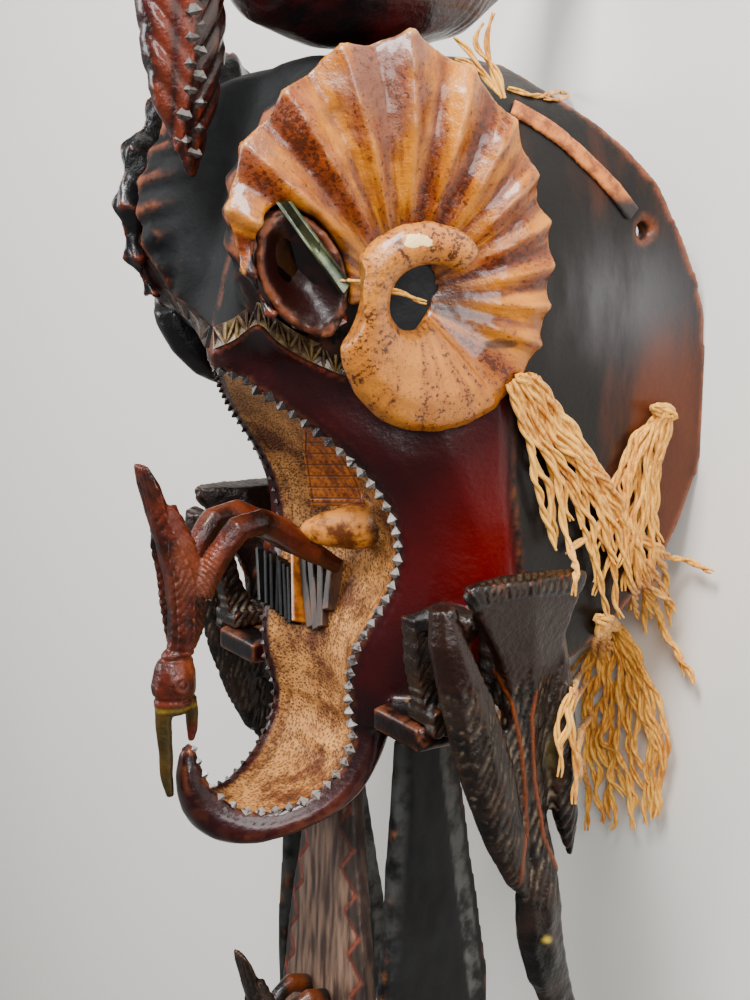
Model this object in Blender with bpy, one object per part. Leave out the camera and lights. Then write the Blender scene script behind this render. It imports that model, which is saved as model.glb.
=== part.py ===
# Carved helmet mask: a horned beast face set about with hornbills, lying on its back, face up.
# Mask frame in mm: l to the mask's left, u up its face, f forward out of its face.
# World in metres: X = l, Y = u, Z = f, with the two rim flats resting on Z = 0.
import bmesh
import bpy
import numpy as np
from mathutils import Vector
from mathutils.bvhtree import BVHTree

# driving sizes, mm
GAP = 0.3                # clearance between neighbouring pieces
REST_F = -153.0          # f of the plane that the rim lies on
HALF_SHELL = 115.0       # half width of the helmet at its rim
THONG_HOLE = 11.0        # bore in the helmet wall for the leather thong
THONG_WIDTH = 10.0
THONG_THICK = 2.0
CREST_TOP = 392.0        # u of the casque top
CREST_SEAT = 256.0       # u where the crest bird sits on the helmet
BOARD_END = -412.0       # u of the lower end of the plank
BLADE_END = -404.0       # u of the lower end of the blades
BLADE_L = 60.0           # l of each blade's middle
BLADE_THICK = 11.0
PLANK_THICK = 12.0
PLANK_SEAT = -168.0      # u of the plank's upper end
BLADE_SEAT = -129.0      # u of the blades' upper end
SIDE_SEAT = 114.0        # l of the flat that a side bird stands on
LEDGE_TOP = -99.0        # u of the ledge under a side bird's foot
HORN_CENTRE = (98.3, 128.3, 41.0)
HORN_BACK = (0.3162, 0.0, -0.9487)   # in the horn's plane, towards the rim
HORN_OUT = (0.9487, 0.0, 0.3162)     # the horn plane's normal
HORN_SEAT = -13.0        # depth of the horn's seat on the cheek behind its plane
FLUTES = 14
FLUTE_DEPTH = 3.2
EYE_CENTRE = (76.5, 143.0, 94.5)
EYE_LONG = 36.0          # half length of the eye bowl
EYE_WIDE = 22.0
EYE_DEPTH = 11.0

U_MID = 0.5 * (CREST_TOP + BOARD_END)


def to_world(points):
    """Mask-frame mm to world metres."""
    points = np.asarray(points, float)
    return np.stack([points[..., 0], points[..., 1] - U_MID, points[..., 2] - REST_F], -1) / 1000


def material(name, colour, rough):
    found = bpy.data.materials.new(name)
    found.use_nodes = True
    shader = found.node_tree.nodes["Principled BSDF"]
    shader.inputs["Base Color"].default_value = (*colour, 1)
    shader.inputs["Roughness"].default_value = rough
    shader.inputs["Metallic"].default_value = 0.0
    return found


def solid(name, points, faces):
    """One closed mesh object from mask-frame points."""
    mesh = bpy.data.meshes.new(name)
    mesh.from_pydata(to_world(points).tolist(), [], faces)
    shape = bmesh.new()
    shape.from_mesh(mesh)
    bmesh.ops.remove_doubles(shape, verts=shape.verts, dist=1e-6)
    bmesh.ops.dissolve_degenerate(shape, edges=shape.edges, dist=1e-6)
    bmesh.ops.triangulate(shape, faces=shape.faces)
    bmesh.ops.recalc_face_normals(shape, faces=shape.faces)
    if shape.calc_volume(signed=True) < 0:
        bmesh.ops.reverse_faces(shape, faces=shape.faces)
    shape.to_mesh(mesh)
    shape.free()
    made = bpy.data.objects.new(name, mesh)
    bpy.context.scene.collection.objects.link(made)
    return made


def loft(name, rings):
    """A skin over equal rings of points, closed at both ends."""
    rings = np.asarray(rings, float)
    count, around = rings.shape[:2]
    points = rings.reshape(-1, 3)
    faces = []
    for i in range(count - 1):
        for j in range(around):
            k = (j + 1) % around
            faces.append((i * around + j, i * around + k, (i + 1) * around + k, (i + 1) * around + j))
    faces.append(tuple(range(around)))
    faces.append(tuple(reversed(range((count - 1) * around, count * around))))
    return solid(name, points, faces)


def smooth(rows, steps):
    """Catmull-Rom samples through rows, steps to each span."""
    rows = np.asarray(rows, float)
    ends = np.vstack([2 * rows[0] - rows[1], rows, 2 * rows[-1] - rows[-2]])
    found = []
    for i in range(len(rows) - 1):
        a, b, c, d = ends[i:i + 4]
        for t in np.arange(steps) / steps:
            found.append(0.5 * (2 * b + (c - a) * t + (2 * a - 5 * b + 4 * c - d) * t ** 2
                                + (3 * b - a - 3 * c + d) * t ** 3))
    found.append(rows[-1])
    return np.array(found)


def box(name, low, high):
    (a, b, c), (d, e, f) = low, high
    return loft(name, [[(a, u, c), (d, u, c), (d, u, f), (a, u, f)] for u in (b, e)])


def tube(name, stations, around=10, side=(1, 0, 0), steps=1, power=1.0):
    """A loft of ellipses along a line: each station is l, u, f, half width across, half depth."""
    stations = smooth(stations, steps) if steps > 1 else np.asarray(stations, float)
    line = stations[:, :3]
    run = np.gradient(line, axis=0)
    run /= np.linalg.norm(run, axis=1, keepdims=True)
    rings = []
    for place, ahead, (wide, deep) in zip(line, run, stations[:, 3:5]):
        across = np.array(side, float)
        across -= ahead * (across @ ahead)
        across /= np.linalg.norm(across)
        out = np.cross(across, ahead)
        turn = np.linspace(0, 2 * np.pi, around, endpoint=False)
        c, s = np.cos(turn), np.sin(turn)
        c = np.sign(c) * np.abs(c) ** power
        s = np.sign(s) * np.abs(s) ** power
        rings.append(place + np.outer(c * wide, across) + np.outer(s * deep, out))
    return loft(name, rings)


def combine(kept, others, how):
    """Kept with each of the others joined or cut, applied at once."""
    for other in others:
        step = kept.modifiers.new(how, "BOOLEAN")
        step.operation = how
        step.solver = "EXACT"
        step.object = other
        step.use_self = how == "UNION"
        bpy.context.view_layer.update()
        graph = bpy.context.evaluated_depsgraph_get()
        mesh = bpy.data.meshes.new_from_object(kept.evaluated_get(graph))
        kept.modifiers.clear()
        kept.data = mesh
        shape = bmesh.new()
        shape.from_mesh(mesh)
        bmesh.ops.triangulate(shape, faces=shape.faces)
        bmesh.ops.remove_doubles(shape, verts=shape.verts, dist=2e-6)
        bmesh.ops.dissolve_degenerate(shape, edges=shape.edges, dist=2e-6)
        shape.to_mesh(mesh)
        shape.free()
        bpy.data.objects.remove(other)
    return kept


def join(kept, *others):
    return combine(kept, others, "UNION")


def cut(kept, *others):
    return combine(kept, others, "DIFFERENCE")


def grown(kept, name):
    """A copy of the piece, a clearance larger all round."""
    made = bpy.data.objects.new(name, kept.data.copy())
    bpy.context.scene.collection.objects.link(made)
    shape = bmesh.new()
    shape.from_mesh(made.data)
    bmesh.ops.triangulate(shape, faces=shape.faces)
    shape.normal_update()
    moves = [point.normal * (1.8 * GAP / 1000) for point in shape.verts]
    for point, move in zip(shape.verts, moves):
        point.co += move
    shape.to_mesh(made.data)
    shape.free()
    return made


def clear_of(kept, body):
    """Cut a clearance for the body out of a piece, and drop any crumb that this leaves."""
    cut(kept, grown(body, "clearance"))
    shape = bmesh.new()
    shape.from_mesh(kept.data)
    left = set(shape.verts)
    bodies = []
    while left:
        found, edge = set(), [left.pop()]
        while edge:
            point = edge.pop()
            found.add(point)
            for link in point.link_edges:
                other = link.other_vert(point)
                if other in left:
                    left.remove(other)
                    edge.append(other)
        bodies.append(found)
    bodies.sort(key=len)
    for crumb in bodies[:-1]:
        bmesh.ops.delete(shape, geom=list(crumb), context="VERTS")
    shape.to_mesh(kept.data)
    shape.free()
    return kept


def flipped(kept, name):
    """The same piece on the mask's other side."""
    mesh = kept.data.copy()
    shape = bmesh.new()
    shape.from_mesh(mesh)
    for point in shape.verts:
        point.co.x = -point.co.x
    bmesh.ops.reverse_faces(shape, faces=shape.faces)
    shape.to_mesh(mesh)
    shape.free()
    made = bpy.data.objects.new(name, mesh)
    bpy.context.scene.collection.objects.link(made)
    return made


def paint(kept, found):
    """The piece's material, after its nearly flat neighbours are merged into fewer triangles."""
    shape = bmesh.new()
    shape.from_mesh(kept.data)
    bmesh.ops.dissolve_limit(shape, angle_limit=0.035, verts=shape.verts, edges=shape.edges)
    bmesh.ops.triangulate(shape, faces=shape.faces)
    shape.to_mesh(kept.data)
    shape.free()
    kept.data.materials.clear()
    kept.data.materials.append(found)


# the helmet and face: each row is one level of the mask, front middle, lip or brow edge, wedge, cheek, side, rim
# u, middle f, lip l, lip f, wedge l, wedge f, cheek l, cheek f, side l, side f, rim l, rim f
LEVELS = [
    (CREST_SEAT, 44, 12, 34, 22, 24, 34, 8, 40, -14, 38, -34),
    (250, 58, 20, 54, 38, 50, 50, 26, 60, -14, 62, -44),
    (236, 65, 30, 74, 59, 88, 68, 50, 84, -12, 86, -54),
    (219, 71, 32, 88, 59, 106, 76, 50, 94, -12, 99, -80),
    (190, 81, 32, 103, 56, 124, 79, 51, 100, -10, 110, -114),
    (160, 91, 32, 108, 56, 124, 80, 49, 104, -8, 113, -132),
    (140, 97, 32, 110, 60, 114, 81, 47, 107, -8, HALF_SHELL, -142),
    (125, 101, 31, 107, 62, 104, 81, 46, 109, -8, HALF_SHELL, -148),
    (112, 105, 28, 104, 61, 95, 81, 45, 110, -8, HALF_SHELL, -153),
    (102, 107, 23, 100, 55, 85, 81.5, 43, 111, -8, HALF_SHELL, -155),
    (90, 108, 19, 97, 49, 77, 82, 42, 112, -8, HALF_SHELL, -157),
    (85, 104, 19, 96, 49, 76, 82.5, 42, 112, -8, HALF_SHELL, -157.5),
    (79, 88, 21, 95, 51, 74, 83, 40, 112, -8, HALF_SHELL, -158),
    (61, 64, 44, 77, 62, 66, 85, 36, 112, -10, HALF_SHELL, -158),
    (42, 45, 60, 58, 74, 51, 92, 30, 112, -12, HALF_SHELL, -156),
    (16, 25, 68, 38, 81, 34, 96, 18, 112, -18, HALF_SHELL, -150),
    (-10, 15, 69, 29, 82, 26, 98, 10, 112, -24, 114, -139),
    (-37, 18, 65, 32, 80, 28, 97, 10, 111, -24, 113, -121),
    (-65, 32, 56, 46, 73, 36, 93, 12, 107, -24, 109, -92),
    (-80, 36, 52, 50, 69, 38, 89, 14, 103, -24, 104, -74),
    (-96, 38, 50, 51, 64, 40, 84, 16, 96, -18, 96, -52),
    (-112, 36, 49, 49, 60, 38, 76, 18, 84, -8, 80, -26),
    (-120, 38, 47, 46, 57, 36, 70, 20, 75, 2, 72, -12),
]


def head_ring(row):
    u, middle, *pairs = row
    pairs = np.array(pairs).reshape(-1, 2)
    lip = pairs[0]
    outer = smooth(pairs, 2)
    dish = [(0.0, middle), (0.5 * lip[0], middle + 0.22 * (lip[1] - middle)),
            (0.84 * lip[0], middle + 0.72 * (lip[1] - middle))]
    half = np.vstack([dish, outer])
    whole = np.vstack([half, half[:0:-1] * (-1, 1)])
    return [(l, u, f) for l, f in whole]


def inside_ring(row):
    """The head hollow at one level: a round-fronted opening running out past the rim."""
    u, front, half = row
    turn = np.linspace(0, np.pi, 11)
    arc = [(half * np.cos(a), -42 + (front + 42) * np.sin(a) ** 0.9) for a in turn]
    return [(l, u, f) for l, f in [(half + 1, -190), *arc, (-half - 1, -190), (0, -190)]]


def make_head():
    head = loft("mask_head", [head_ring(row) for row in smooth(LEVELS, 2)])
    # lower jaw: lip l, lip u, lip f, dish u, dish f, keel u, keel f
    jaw_rows = [
        (44, -98, 42, -98, 28, -98, 0, 8),
        (47, -116, 46, -120, 34, -134, 12, 12),
        (46, -134, 48, -140, 38, -161, 30, 14),
        (43, -150, 57, -157, 50, -176, 48, 13),
        (37, -162, 72, -169, 70, -186, 76, 11),
        (28, -168, 92, -174, 92, -191, 99, 9),
        (18, -163, 109, -167, 109, -187, 118, 7),
        (10, -151, 119, -154, 118, -171, 131, 5),
        (6, -138, 124, -140, 122, -149, 135, 4),
        (3, -127, 126, -128, 125, -131, 132, 2),
    ]
    rings = []
    for lip, lip_u, lip_f, dish_u, dish_f, keel_u, keel_f, bulge in smooth(jaw_rows, 2):
        turn = np.linspace(0, np.pi, 11)
        across = lip * np.sign(np.cos(turn)) * np.abs(np.cos(turn)) ** 0.75 \
            + bulge * np.sin(2 * turn) * (turn < np.pi / 2) + bulge * np.sin(2 * turn) * (turn > np.pi / 2)
        down = np.sin(turn) ** 0.9
        shell = [(l, lip_u + (keel_u - lip_u) * d, lip_f + (keel_f - lip_f) * d)
                 for l, d in zip(across, down)]
        dish = [(s * lip, lip_u + (dish_u - lip_u) * w, lip_f + (dish_f - lip_f) * w)
                for s, w in ((-0.8, 0.6), (-0.42, 0.92), (0, 1), (0.42, 0.92), (0.8, 0.6))]
        rings.append(shell + dish)
    jaw = loft("jaw", rings)
    join(head, jaw)
    # seats for the pieces that stand on the helmet
    out = np.array(HORN_OUT)
    back = np.array(HORN_BACK)
    centre = np.array(HORN_CENTRE)
    pads = []
    for side in (1, -1):
        boss = []
        for deep, spread in ((HORN_SEAT - GAP - 30, 1.1), (HORN_SEAT - GAP, 1.0)):
            turn = np.linspace(0, 2 * np.pi, 16, endpoint=False)
            boss.append([centre + out * deep + back * (2 + 34 * spread * np.cos(a))
                         + np.array((0, 8 + 40 * spread * np.sin(a), 0)) for a in turn])
        boss = np.array(boss)
        boss[..., 0] *= side
        pads.append(loft("horn_seat", boss))
        low, high = sorted((70 * side, 117 * side))
        pads.append(box("ledge", (low, LEDGE_TOP - 15, 4), (high, LEDGE_TOP, 47)))
        low, high = sorted((90 * side, SIDE_SEAT * side))
        pads.append(box("side_seat", (low, -92, -22), (high, -44, 16)))
        low, high = sorted(((BLADE_L - 6) * side, (BLADE_L + 6) * side))
        pads.append(box("blade_seat", (low, BLADE_SEAT, -14), (high, -98, 24)))
    pads.append(box("plank_seat", (-22, PLANK_SEAT, 24), (22, -140, 44)))
    join(head, *pads)
    # the peg that stands in the mouth
    peg = tube("peg", [
        (30, -6, 14, 15, 13), (24, -8, 32, 14, 12), (16, -9, 48, 10, 8), (10, -10, 58, 5, 4)],
        around=12, side=(0, 1, 0))
    join(head, peg)
    # eyes: a raised almond cup on each cheek, hollowed to facets
    for side in (1, -1):
        join(head, loft("eye", [eye_ring(side, deep, 1.0) for deep in (-24, 6)]))
        cut(head, loft("bowl", [eye_ring(side, 6 - EYE_DEPTH, 0.30), eye_ring(side, 8, 0.96)]))
    body = bpy.data.objects.new("body", head.data.copy())
    # the hollow for the wearer's head
    rows = [(-82, -34, 70), (-60, -16, 88), (-37, -4, 97), (-10, -2, 101), (30, 10, 103), (60, 22, 103.5),
            (100, 26, 103.5), (140, 20, 102), (175, 14, 97), (205, 8, 87), (225, 0, 73), (239, -14, 48)]
    cut(head, loft("hollow", [inside_ring(row) for row in smooth(rows, 2)]))
    # two flats on the rim, and the thong bores
    cut(head, box("floor", (-200, -200, -260), (200, 300, REST_F)))
    for side in (1, -1):
        bore = []
        for l in (80 * side, 140 * side):
            turn = np.linspace(0, 2 * np.pi, 14, endpoint=False)
            bore.append([(l, 161 + 0.5 * THONG_HOLE * np.sin(a),
                          -106 + 0.5 * THONG_HOLE * np.cos(a)) for a in turn])
        cut(head, loft("bore", bore))
    return head, body


def eye_ring(side, deep, spread, grow=0.0):
    """An almond in the plane of the eye, deep mm out from its middle."""
    out, back, up = np.array(HORN_OUT), np.array(HORN_BACK), np.array((0.0, 1.0, 0.0))
    long = 0.90 * up - 0.44 * back
    wide = 0.44 * up + 0.90 * back
    ring = []
    for a in np.linspace(0, 2 * np.pi, 20, endpoint=False):
        x = (EYE_LONG * spread + grow) * np.cos(a)
        y = (EYE_WIDE * spread + grow) * np.sin(a) * (1 - 0.25 * abs(np.cos(a)) ** 3)
        ring.append(np.array(EYE_CENTRE) + out * deep + long * x + wide * y)
    ring = np.array(ring)
    ring[:, 0] *= side
    return ring


# horn spiral in its own plane: angle, inner radius, outer radius, height out of the plane, half thickness
CURL = [(46, 21, 38, 33, 6), (70, 20, 41, 32, 9), (110, 20, 43, 31, 10), (146, 20, 44, 29, 11),
        (180, 19, 44, 26, 12),
        (215, 17, 52, 20, 14), (250, 15, 64, 12, 15), (280, 13, 71, 5, 15), (310, 11, 76, 1, 13)]
# fan: angle, inner radius, outer radius, rim height, how deep its inner edge lies below the rim
FAN = [(270, 18, 68, 2, 4), (300, 13, 73, 2, 5), (330, 11, 75, 1, 6), (360, 11, 75, 1, 8),
       (398, 16, 88, 0, 9),
       (424, 20, 110, 0, 9), (450, 24, 134, 0, 9), (470, 24, 131, 0, 9), (481, 24, 124, 0, 9),
       (500, 24, 117, 0, 9),
       (515, 24, 106, 0, 8), (525, 24, 94, 0, 7), (535, 24, 84, -1, 6), (545, 24, 76, -3, 4)]


def horn_point(radius, turn, height):
    back, up, out = np.array(HORN_BACK), np.array((0.0, 1.0, 0.0)), np.array(HORN_OUT)
    a = np.radians(turn)
    return np.array(HORN_CENTRE) + back * radius * np.cos(a) + up * radius * np.sin(a) + out * height


def make_horn():
    rings = []
    for turn, inner, outer, height, half in smooth(CURL, 2):
        middle, reach = 0.5 * (inner + outer), 0.5 * (outer - inner)
        ring = []
        for a in np.linspace(0, 2 * np.pi, 10, endpoint=False):
            ring.append(horn_point(middle + reach * np.cos(a), turn, height + half * np.sin(a)))
        rings.append(ring)
    curl = loft("horn_left", rings)
    rings = []
    table = np.array(FAN, float)
    for turn in np.linspace(FAN[0][0], FAN[-1][0], 56):
        inner, outer, height, dip = (np.interp(turn, table[:, 0], table[:, k]) for k in range(1, 5))
        phase = (turn - 325) / 220 * FLUTES
        wave = abs((phase % 1) - 0.5) * 2 if turn > 325 else 0.5
        rim = outer * (0.975 + 0.04 * wave) if turn > 325 else outer
        ring = []
        # share of the way out, share of the dip, bulge above it, flute share, thickness
        for share, low, bulge, flute in ((0.0, 1.0, 0, 0), (0.25, 0.60, 4, 0.4), (0.55, 0.10, 7, 0.9),
                                         (0.84, 0.0, 6, 1.0), (1.0, 0.0, 0, 0.6)):
            radius = inner + (rim - inner) * share
            ring.append(horn_point(radius, turn,
                                   height - dip * low + bulge + FLUTE_DEPTH * flute * (wave - 0.5)))
        for share, low, thick in ((0.985, 0.0, 5), (0.8, 0.0, 9)):
            radius = inner + (rim - inner) * share
            ring.append(horn_point(radius, turn, height - dip * low - thick))
        ring[-1] = horn_point(inner + (rim - inner) * 0.8, turn, HORN_SEAT + 5 * GAP)
        ring.append(horn_point(inner + 1, turn, HORN_SEAT + 5 * GAP))
        rings.append(ring)
    join(curl, loft("fan", rings))
    cut(curl, loft("eye_clearance", [eye_ring(1, deep, 1.0, 4 * GAP) for deep in (-50, 40)]))
    return curl


def make_side_bird():
    """A hornbill hanging head down against the cheek."""
    def plate(u, inner, outer, front, back, lean=0.0):
        """One level of the tail and back: thin at its edges, thickest along the middle."""
        middle = 0.5 * (front + back)
        return [(inner, u, middle - 8), (inner, u, middle + 8), (outer - 12, u + lean, front),
                (outer - 4, u + lean, front),
                (outer, u, middle), (outer - 4, u - lean, back), (outer - 12, u - lean, back)]

    tail = loft("hornbill_left", [
        plate(-14, 140, 160, 42, -34, 1), plate(-20, 138, 160, 43, -34), plate(-34, 136, 158, 34, -28),
        plate(-56, 134, 155, 20, -22), plate(-80, 132, 152, 10, -18), plate(-112, 134, 152, 12, -18),
        plate(-150, 138, 152, 8, -18)])
    root = box("root", (SIDE_SEAT - 8, -90, -20), (142, -46, 8))
    front_wing = tube("front_wing", [
        (140, -26, 50, 9, 6), (142, -44, 48, 12, 10), (144, -80, 36, 14, 15), (146, -120, 24, 13, 17),
        (148, -160, 12, 9, 13), (149, -184, 4, 6, 8), (150, -196, -1, 2, 2)], around=8, side=(1, 0, 0))
    rear_wing = tube("rear_wing", [
        (140, -40, -22, 8, 6), (144, -80, -24, 11, 9), (148, -120, -25, 10, 10), (150, -155, -28, 7, 8),
        (151, -178, -31, 2, 2)], around=6, side=(1, 0, 0))
    neck = tube("neck", [
        (144, -140, -6, 8, 9), (146, -166, -10, 8, 10), (147, -180, -12, 9, 11), (147, -200, -12, 12, 14),
        (147, -222, -14, 11, 15), (146, -244, -20, 9, 14), (145, -268, -30, 6, 11), (144, -290, -42, 4, 7),
        (143, -306, -52, 1.5, 2)], around=8, side=(1, 0, 0))
    leg = loft("leg", [
        [(l, u, f) for l, f in ((118, low), (118, high), (104, high), (104, low))]
        for u, low, high in ((LEDGE_TOP + 4, 22, 44), (-86, 26, 46), (-66, 36, 50), (-38, 42, 52))])
    foot = box("foot", (99, LEDGE_TOP - 5, 10), (126, LEDGE_TOP + 11, 44.5))
    knee = tube("knee", [(108, -44, 46, 6, 7), (124, -36, 40, 9, 10), (142, -40, 30, 9, 12)], around=8,
                side=(0, 1, 0))
    return join(tail, root, front_wing, rear_wing, neck, leg, foot, knee)


def make_front_bird(name, drop=0.0, back=0.0, reach=1.0, legs=True):
    """A hornbill hanging head down, its back outward, gripping below it with its beak."""
    def at(l, u, f):
        return (l * reach, drop + u * reach, f * reach - back)

    def rows(found):
        return [(*at(*row[:3]), row[3] * reach, row[4] * reach) for row in found]

    tail = tube(name, rows([
        (0, 37, 152, 9, 2), (0, 26, 148, 14, 4), (0, 10, 143, 12, 6), (0, -6, 136, 11, 8),
        (0, -26, 130, 12, 9), (0, -46, 128, 12, 9), (0, -60, 129, 10, 8), (0, -70, 131, 8, 8),
        (0, -78, 134, 9, 10)]),
        around=10, side=(1, 0, 0), steps=1)
    parts = []
    for side in (1, -1):
        parts.append(tube("wing", rows([
            (side * 8, 14, 140, 3, 5), (side * 11, -8, 134, 4, 9), (side * 12, -34, 129, 4, 10),
            (side * 10, -58, 129, 4, 8), (side * 7, -72, 131, 3, 5)]), around=8, side=(1, 0, 0)))
    parts.append(tube("skull", rows([
        (0, -74, 134, 8, 9), (0, -82, 135, 12, 12), (0, -92, 136, 13, 13), (0, -103, 136, 10, 12),
        (0, -108, 136, 7, 9)]),
        around=10, side=(1, 0, 0)))
    parts.append(tube("upper_beak", rows([
        (0, -98, 142, 7, 6), (0, -112, 143, 5.5, 5), (0, -128, 142, 4.5, 4.5), (0, -144, 142, 4, 4),
        (0, -158, 140, 2, 2.5)]),
        around=8, side=(1, 0, 0)))
    if legs:
        parts.append(tube("lower_beak", rows([
            (0, -98, 127, 6, 5), (0, -110, 125, 5, 4), (0, -120, 125, 3.5, 3.5), (0, -127, 126, 2, 2)]),
            around=6, side=(1, 0, 0)))
        for side in (1, -1):
            parts.append(tube("leg", rows([
                (side * 10, -38, 124, 8, 9), (side * 13, -18, 114, 7, 8), (side * 15, -2, 101, 8, 8),
                (side * 15, 0, 86, 8, 8), (side * 14, -7, 72, 7, 8), (side * 13, -18, 58, 6, 7),
                (side * 12, -27, 44, 5, 6), (side * 12, -34, 33, 5, 5)]), around=8, side=(1, 0, 0)))
    else:
        for side in (1, -1):
            parts.append(tube("leg", rows([
                (side * 9, -36, 126, 6, 8), (side * 12, -16, 112, 6, 7), (side * 14, -10, 100, 7, 8),
                (side * 14, -14, 86, 7, 8), (side * 13, -22, 74, 6, 7)]), around=8, side=(1, 0, 0)))
    return join(tail, *parts)


def make_crest():
    """The hornbill on top: its body sits on the helmet and its long beak hangs before the forehead."""
    seat = CREST_SEAT + 3 * GAP
    body = tube("hornbill_crest", [
        (0, 320, -84, 14, 12), (0, 312, -72, 30, 24), (0, 306, -48, 42, 38), (0, 302, -8, 48, 44),
        (0, 303, 34, 48, 44), (0, 308, 66, 40, 38), (0, 318, 84, 28, 28), (0, 328, 94, 20, 20)],
        around=14, side=(1, 0, 0))
    neck = tube("neck", [
        (0, 316, 66, 22, 24), (0, 334, 92, 22, 24), (0, 340, 114, 23, 24), (0, 334, 134, 18, 22),
        (0, 322, 142, 10, 14)], around=10, side=(1, 0, 0))
    beak = tube("beak", [
        (0, 330, 122, 16, 26), (0, 304, 122, 17, 27), (0, 276, 121, 16, 26), (0, 250, 120, 14, 24),
        (0, 226, 119, 11, 18), (0, 206, 118, 7, 10), (0, 190, 117, 2, 2.5)], around=10, side=(1, 0, 0))
    casque = tube("casque", [
        (0, 356, 84, 8, 6), (0, 373, 98, 11, 14), (0, 375, 118, 11, 17), (0, 358, 136, 9, 17),
        (0, 332, 146, 6, 10)], around=8, side=(1, 0, 0))
    tail = tube("tail", [
        (0, 306, -56, 26, 14), (0, 330, -92, 24, 9), (0, 352, -120, 26, 7), (0, 364, -132, 27, 5)],
        around=8, side=(1, 0, 0))
    bird = join(body, neck, beak, casque, tail)
    slab = box("slab", (-60, 200, -120), (60, seat, 94))
    return cut(bird, slab)


def make_plank():
    rows = [(PLANK_SEAT - GAP, 25, 36), (-206, 30, 37), (-265, 42, 40), (-320, 50, 42), (-380, 54, 42),
            (-401, 50, 42), (BOARD_END, 34, 42)]
    rings = []
    for u, half, front in rows:
        back = front - PLANK_THICK
        rings.append([(-half, u, back), (half, u, back), (half, u, front - 3), (0.55 * half, u, front),
                      (-0.55 * half, u, front), (-half, u, front - 3)])
    return loft("beard_plank", rings)


def make_blade():
    # u, back f, front f
    rows = [(BLADE_SEAT - GAP, -17, 24), (-160, -22, 27), (-220, -32, 31), (-290, -44, 36), (-340, -46, 36),
            (-375, -36, 30), (BLADE_END, -12, 12)]
    rings = []
    for u, back, front in rows:
        run = front - back
        near, far = BLADE_L + 0.5 * BLADE_THICK, BLADE_L - 0.5 * BLADE_THICK
        rings.append([(far, u, back + 1), (far, u, front - 1), (near - 2, u, front),
                      (near, u, front - 0.2 * run),
                      (near, u, back + 0.3 * run), (near - 5, u, back)])
    return loft("blade_left", rings)


def drape(tree, line, lift):
    """Points on the helmet's outside above each (u, f) of the line, lift mm off it."""
    found = []
    for u, f in line:
        start = Vector(to_world((260.0, u, f)).tolist())
        spot, normal, _, _ = tree.ray_cast(start, Vector((-1, 0, 0)))
        spot = np.array(spot) + np.array(normal) * lift / 1000
        found.append((spot * 1000 + (0, U_MID, REST_F), np.array(normal)))
    return found


def make_thong(head):
    shape = bmesh.new()
    shape.from_mesh(head.data)
    tree = BVHTree.FromBMesh(shape)
    line = smooth([(226, -26), (214, -48), (200, -66), (184, -84), (170, -97)], 4)
    rings = []
    spots = drape(tree, line, GAP + 0.7)
    places = np.array([spot for spot, _ in spots])
    run = np.gradient(places, axis=0)
    for (spot, normal), ahead in zip(spots, run):
        across = np.cross(normal, ahead)
        across /= np.linalg.norm(across)
        rings.append([spot - across * 0.5 * THONG_WIDTH, spot + across * 0.5 * THONG_WIDTH,
                      spot + across * 0.42 * THONG_WIDTH + normal * THONG_THICK,
                      spot - across * 0.42 * THONG_WIDTH + normal * THONG_THICK])
    shape.free()
    return loft("thong_left", rings)


def make_tassel(name, root, strands):
    """A bunch of raffia: a knot at its root and a few thick locks falling to the floor."""
    locks = []
    for lock in strands:
        locks.append(tube("lock", lock, around=6, side=(0.97, -0.25, 0)))
    knot = tube(name, root, around=8, side=(0, 0.2, 1))
    return join(knot, *locks)


def make_tassels():
    floor = REST_F + 4.5
    cheek = make_tassel("tassel_cheek_left", [(126, 84, -46, 5, 5), (128, 74, -46, 9, 8), (128, 62, -52,
        9, 8),
                                              (129, 52, -60, 6, 6)], [
        [(127, 72, -50, 8, 7), (130, 44, -66, 13, 7), (134, 10, -96, 15, 7), (140, -24, -128, 16, 6),
         (145, -54, floor, 16, 4), (148, -92, floor, 11, 4), (152, -118, floor, 4, 3)],
        [(127, 68, -50, 6, 6), (128, 24, -52, 8, 6), (129, -18, -70, 9, 6), (133, -58, -110, 9, 6),
         (138, -84, floor, 8, 4), (141, -112, floor, 4, 3)]])
    rim = make_tassel("tassel_rim_left", [(HALF_SHELL + 6, 60, -118, 4, 4), (HALF_SHELL + 9, 55, -122,
        6, 7),
                                          (HALF_SHELL + 11, 46, -128, 6, 7),
                                          (HALF_SHELL + 12, 38, -132, 5, 5)], [
        [(HALF_SHELL + 11, 48, -128, 5, 6), (HALF_SHELL + 15, 20, -137, 6, 8),
         (HALF_SHELL + 13, -12, -143, 7, 6),
         (HALF_SHELL + 2, -48, floor, 9, 4), (HALF_SHELL - 7, -68, floor, 7, 4),
         (HALF_SHELL - 11, -80, floor, 4, 3)]])
    jaw = make_tassel("tassel_jaw_left", [(117, -52, -110, 4, 4), (114, -58, -116, 8, 8), (108, -66,
        -122, 8, 8),
                                          (102, -74, -130, 6, 6)], [
        [(110, -64, -120, 7, 7), (96, -90, -136, 12, 7), (80, -122, floor + 1, 15, 5),
         (60, -164, floor, 18, 4),
         (44, -206, floor, 16, 4), (32, -240, floor, 10, 4), (26, -262, floor, 4, 3)],
        [(110, -64, -120, 6, 6), (96, -98, -138, 10, 6), (86, -134, floor, 12, 4), (76, -176, floor, 12, 4),
         (66, -218, floor, 8, 4), (60, -246, floor, 4, 3)]])
    return cheek, rim, jaw


def settle():
    """Moves every mesh so that the whole thing's box stands centred on the origin."""
    pieces = [found for found in bpy.data.objects if found.type == "MESH"]
    heights = [point.co.y for piece in pieces for point in piece.data.vertices]
    middle = 0.5 * (min(heights) + max(heights))
    for piece in pieces:
        for point in piece.data.vertices:
            point.co.y -= middle
    print("origin lies at u", round(middle * 1000 + U_MID, 2), "mm")


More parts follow.
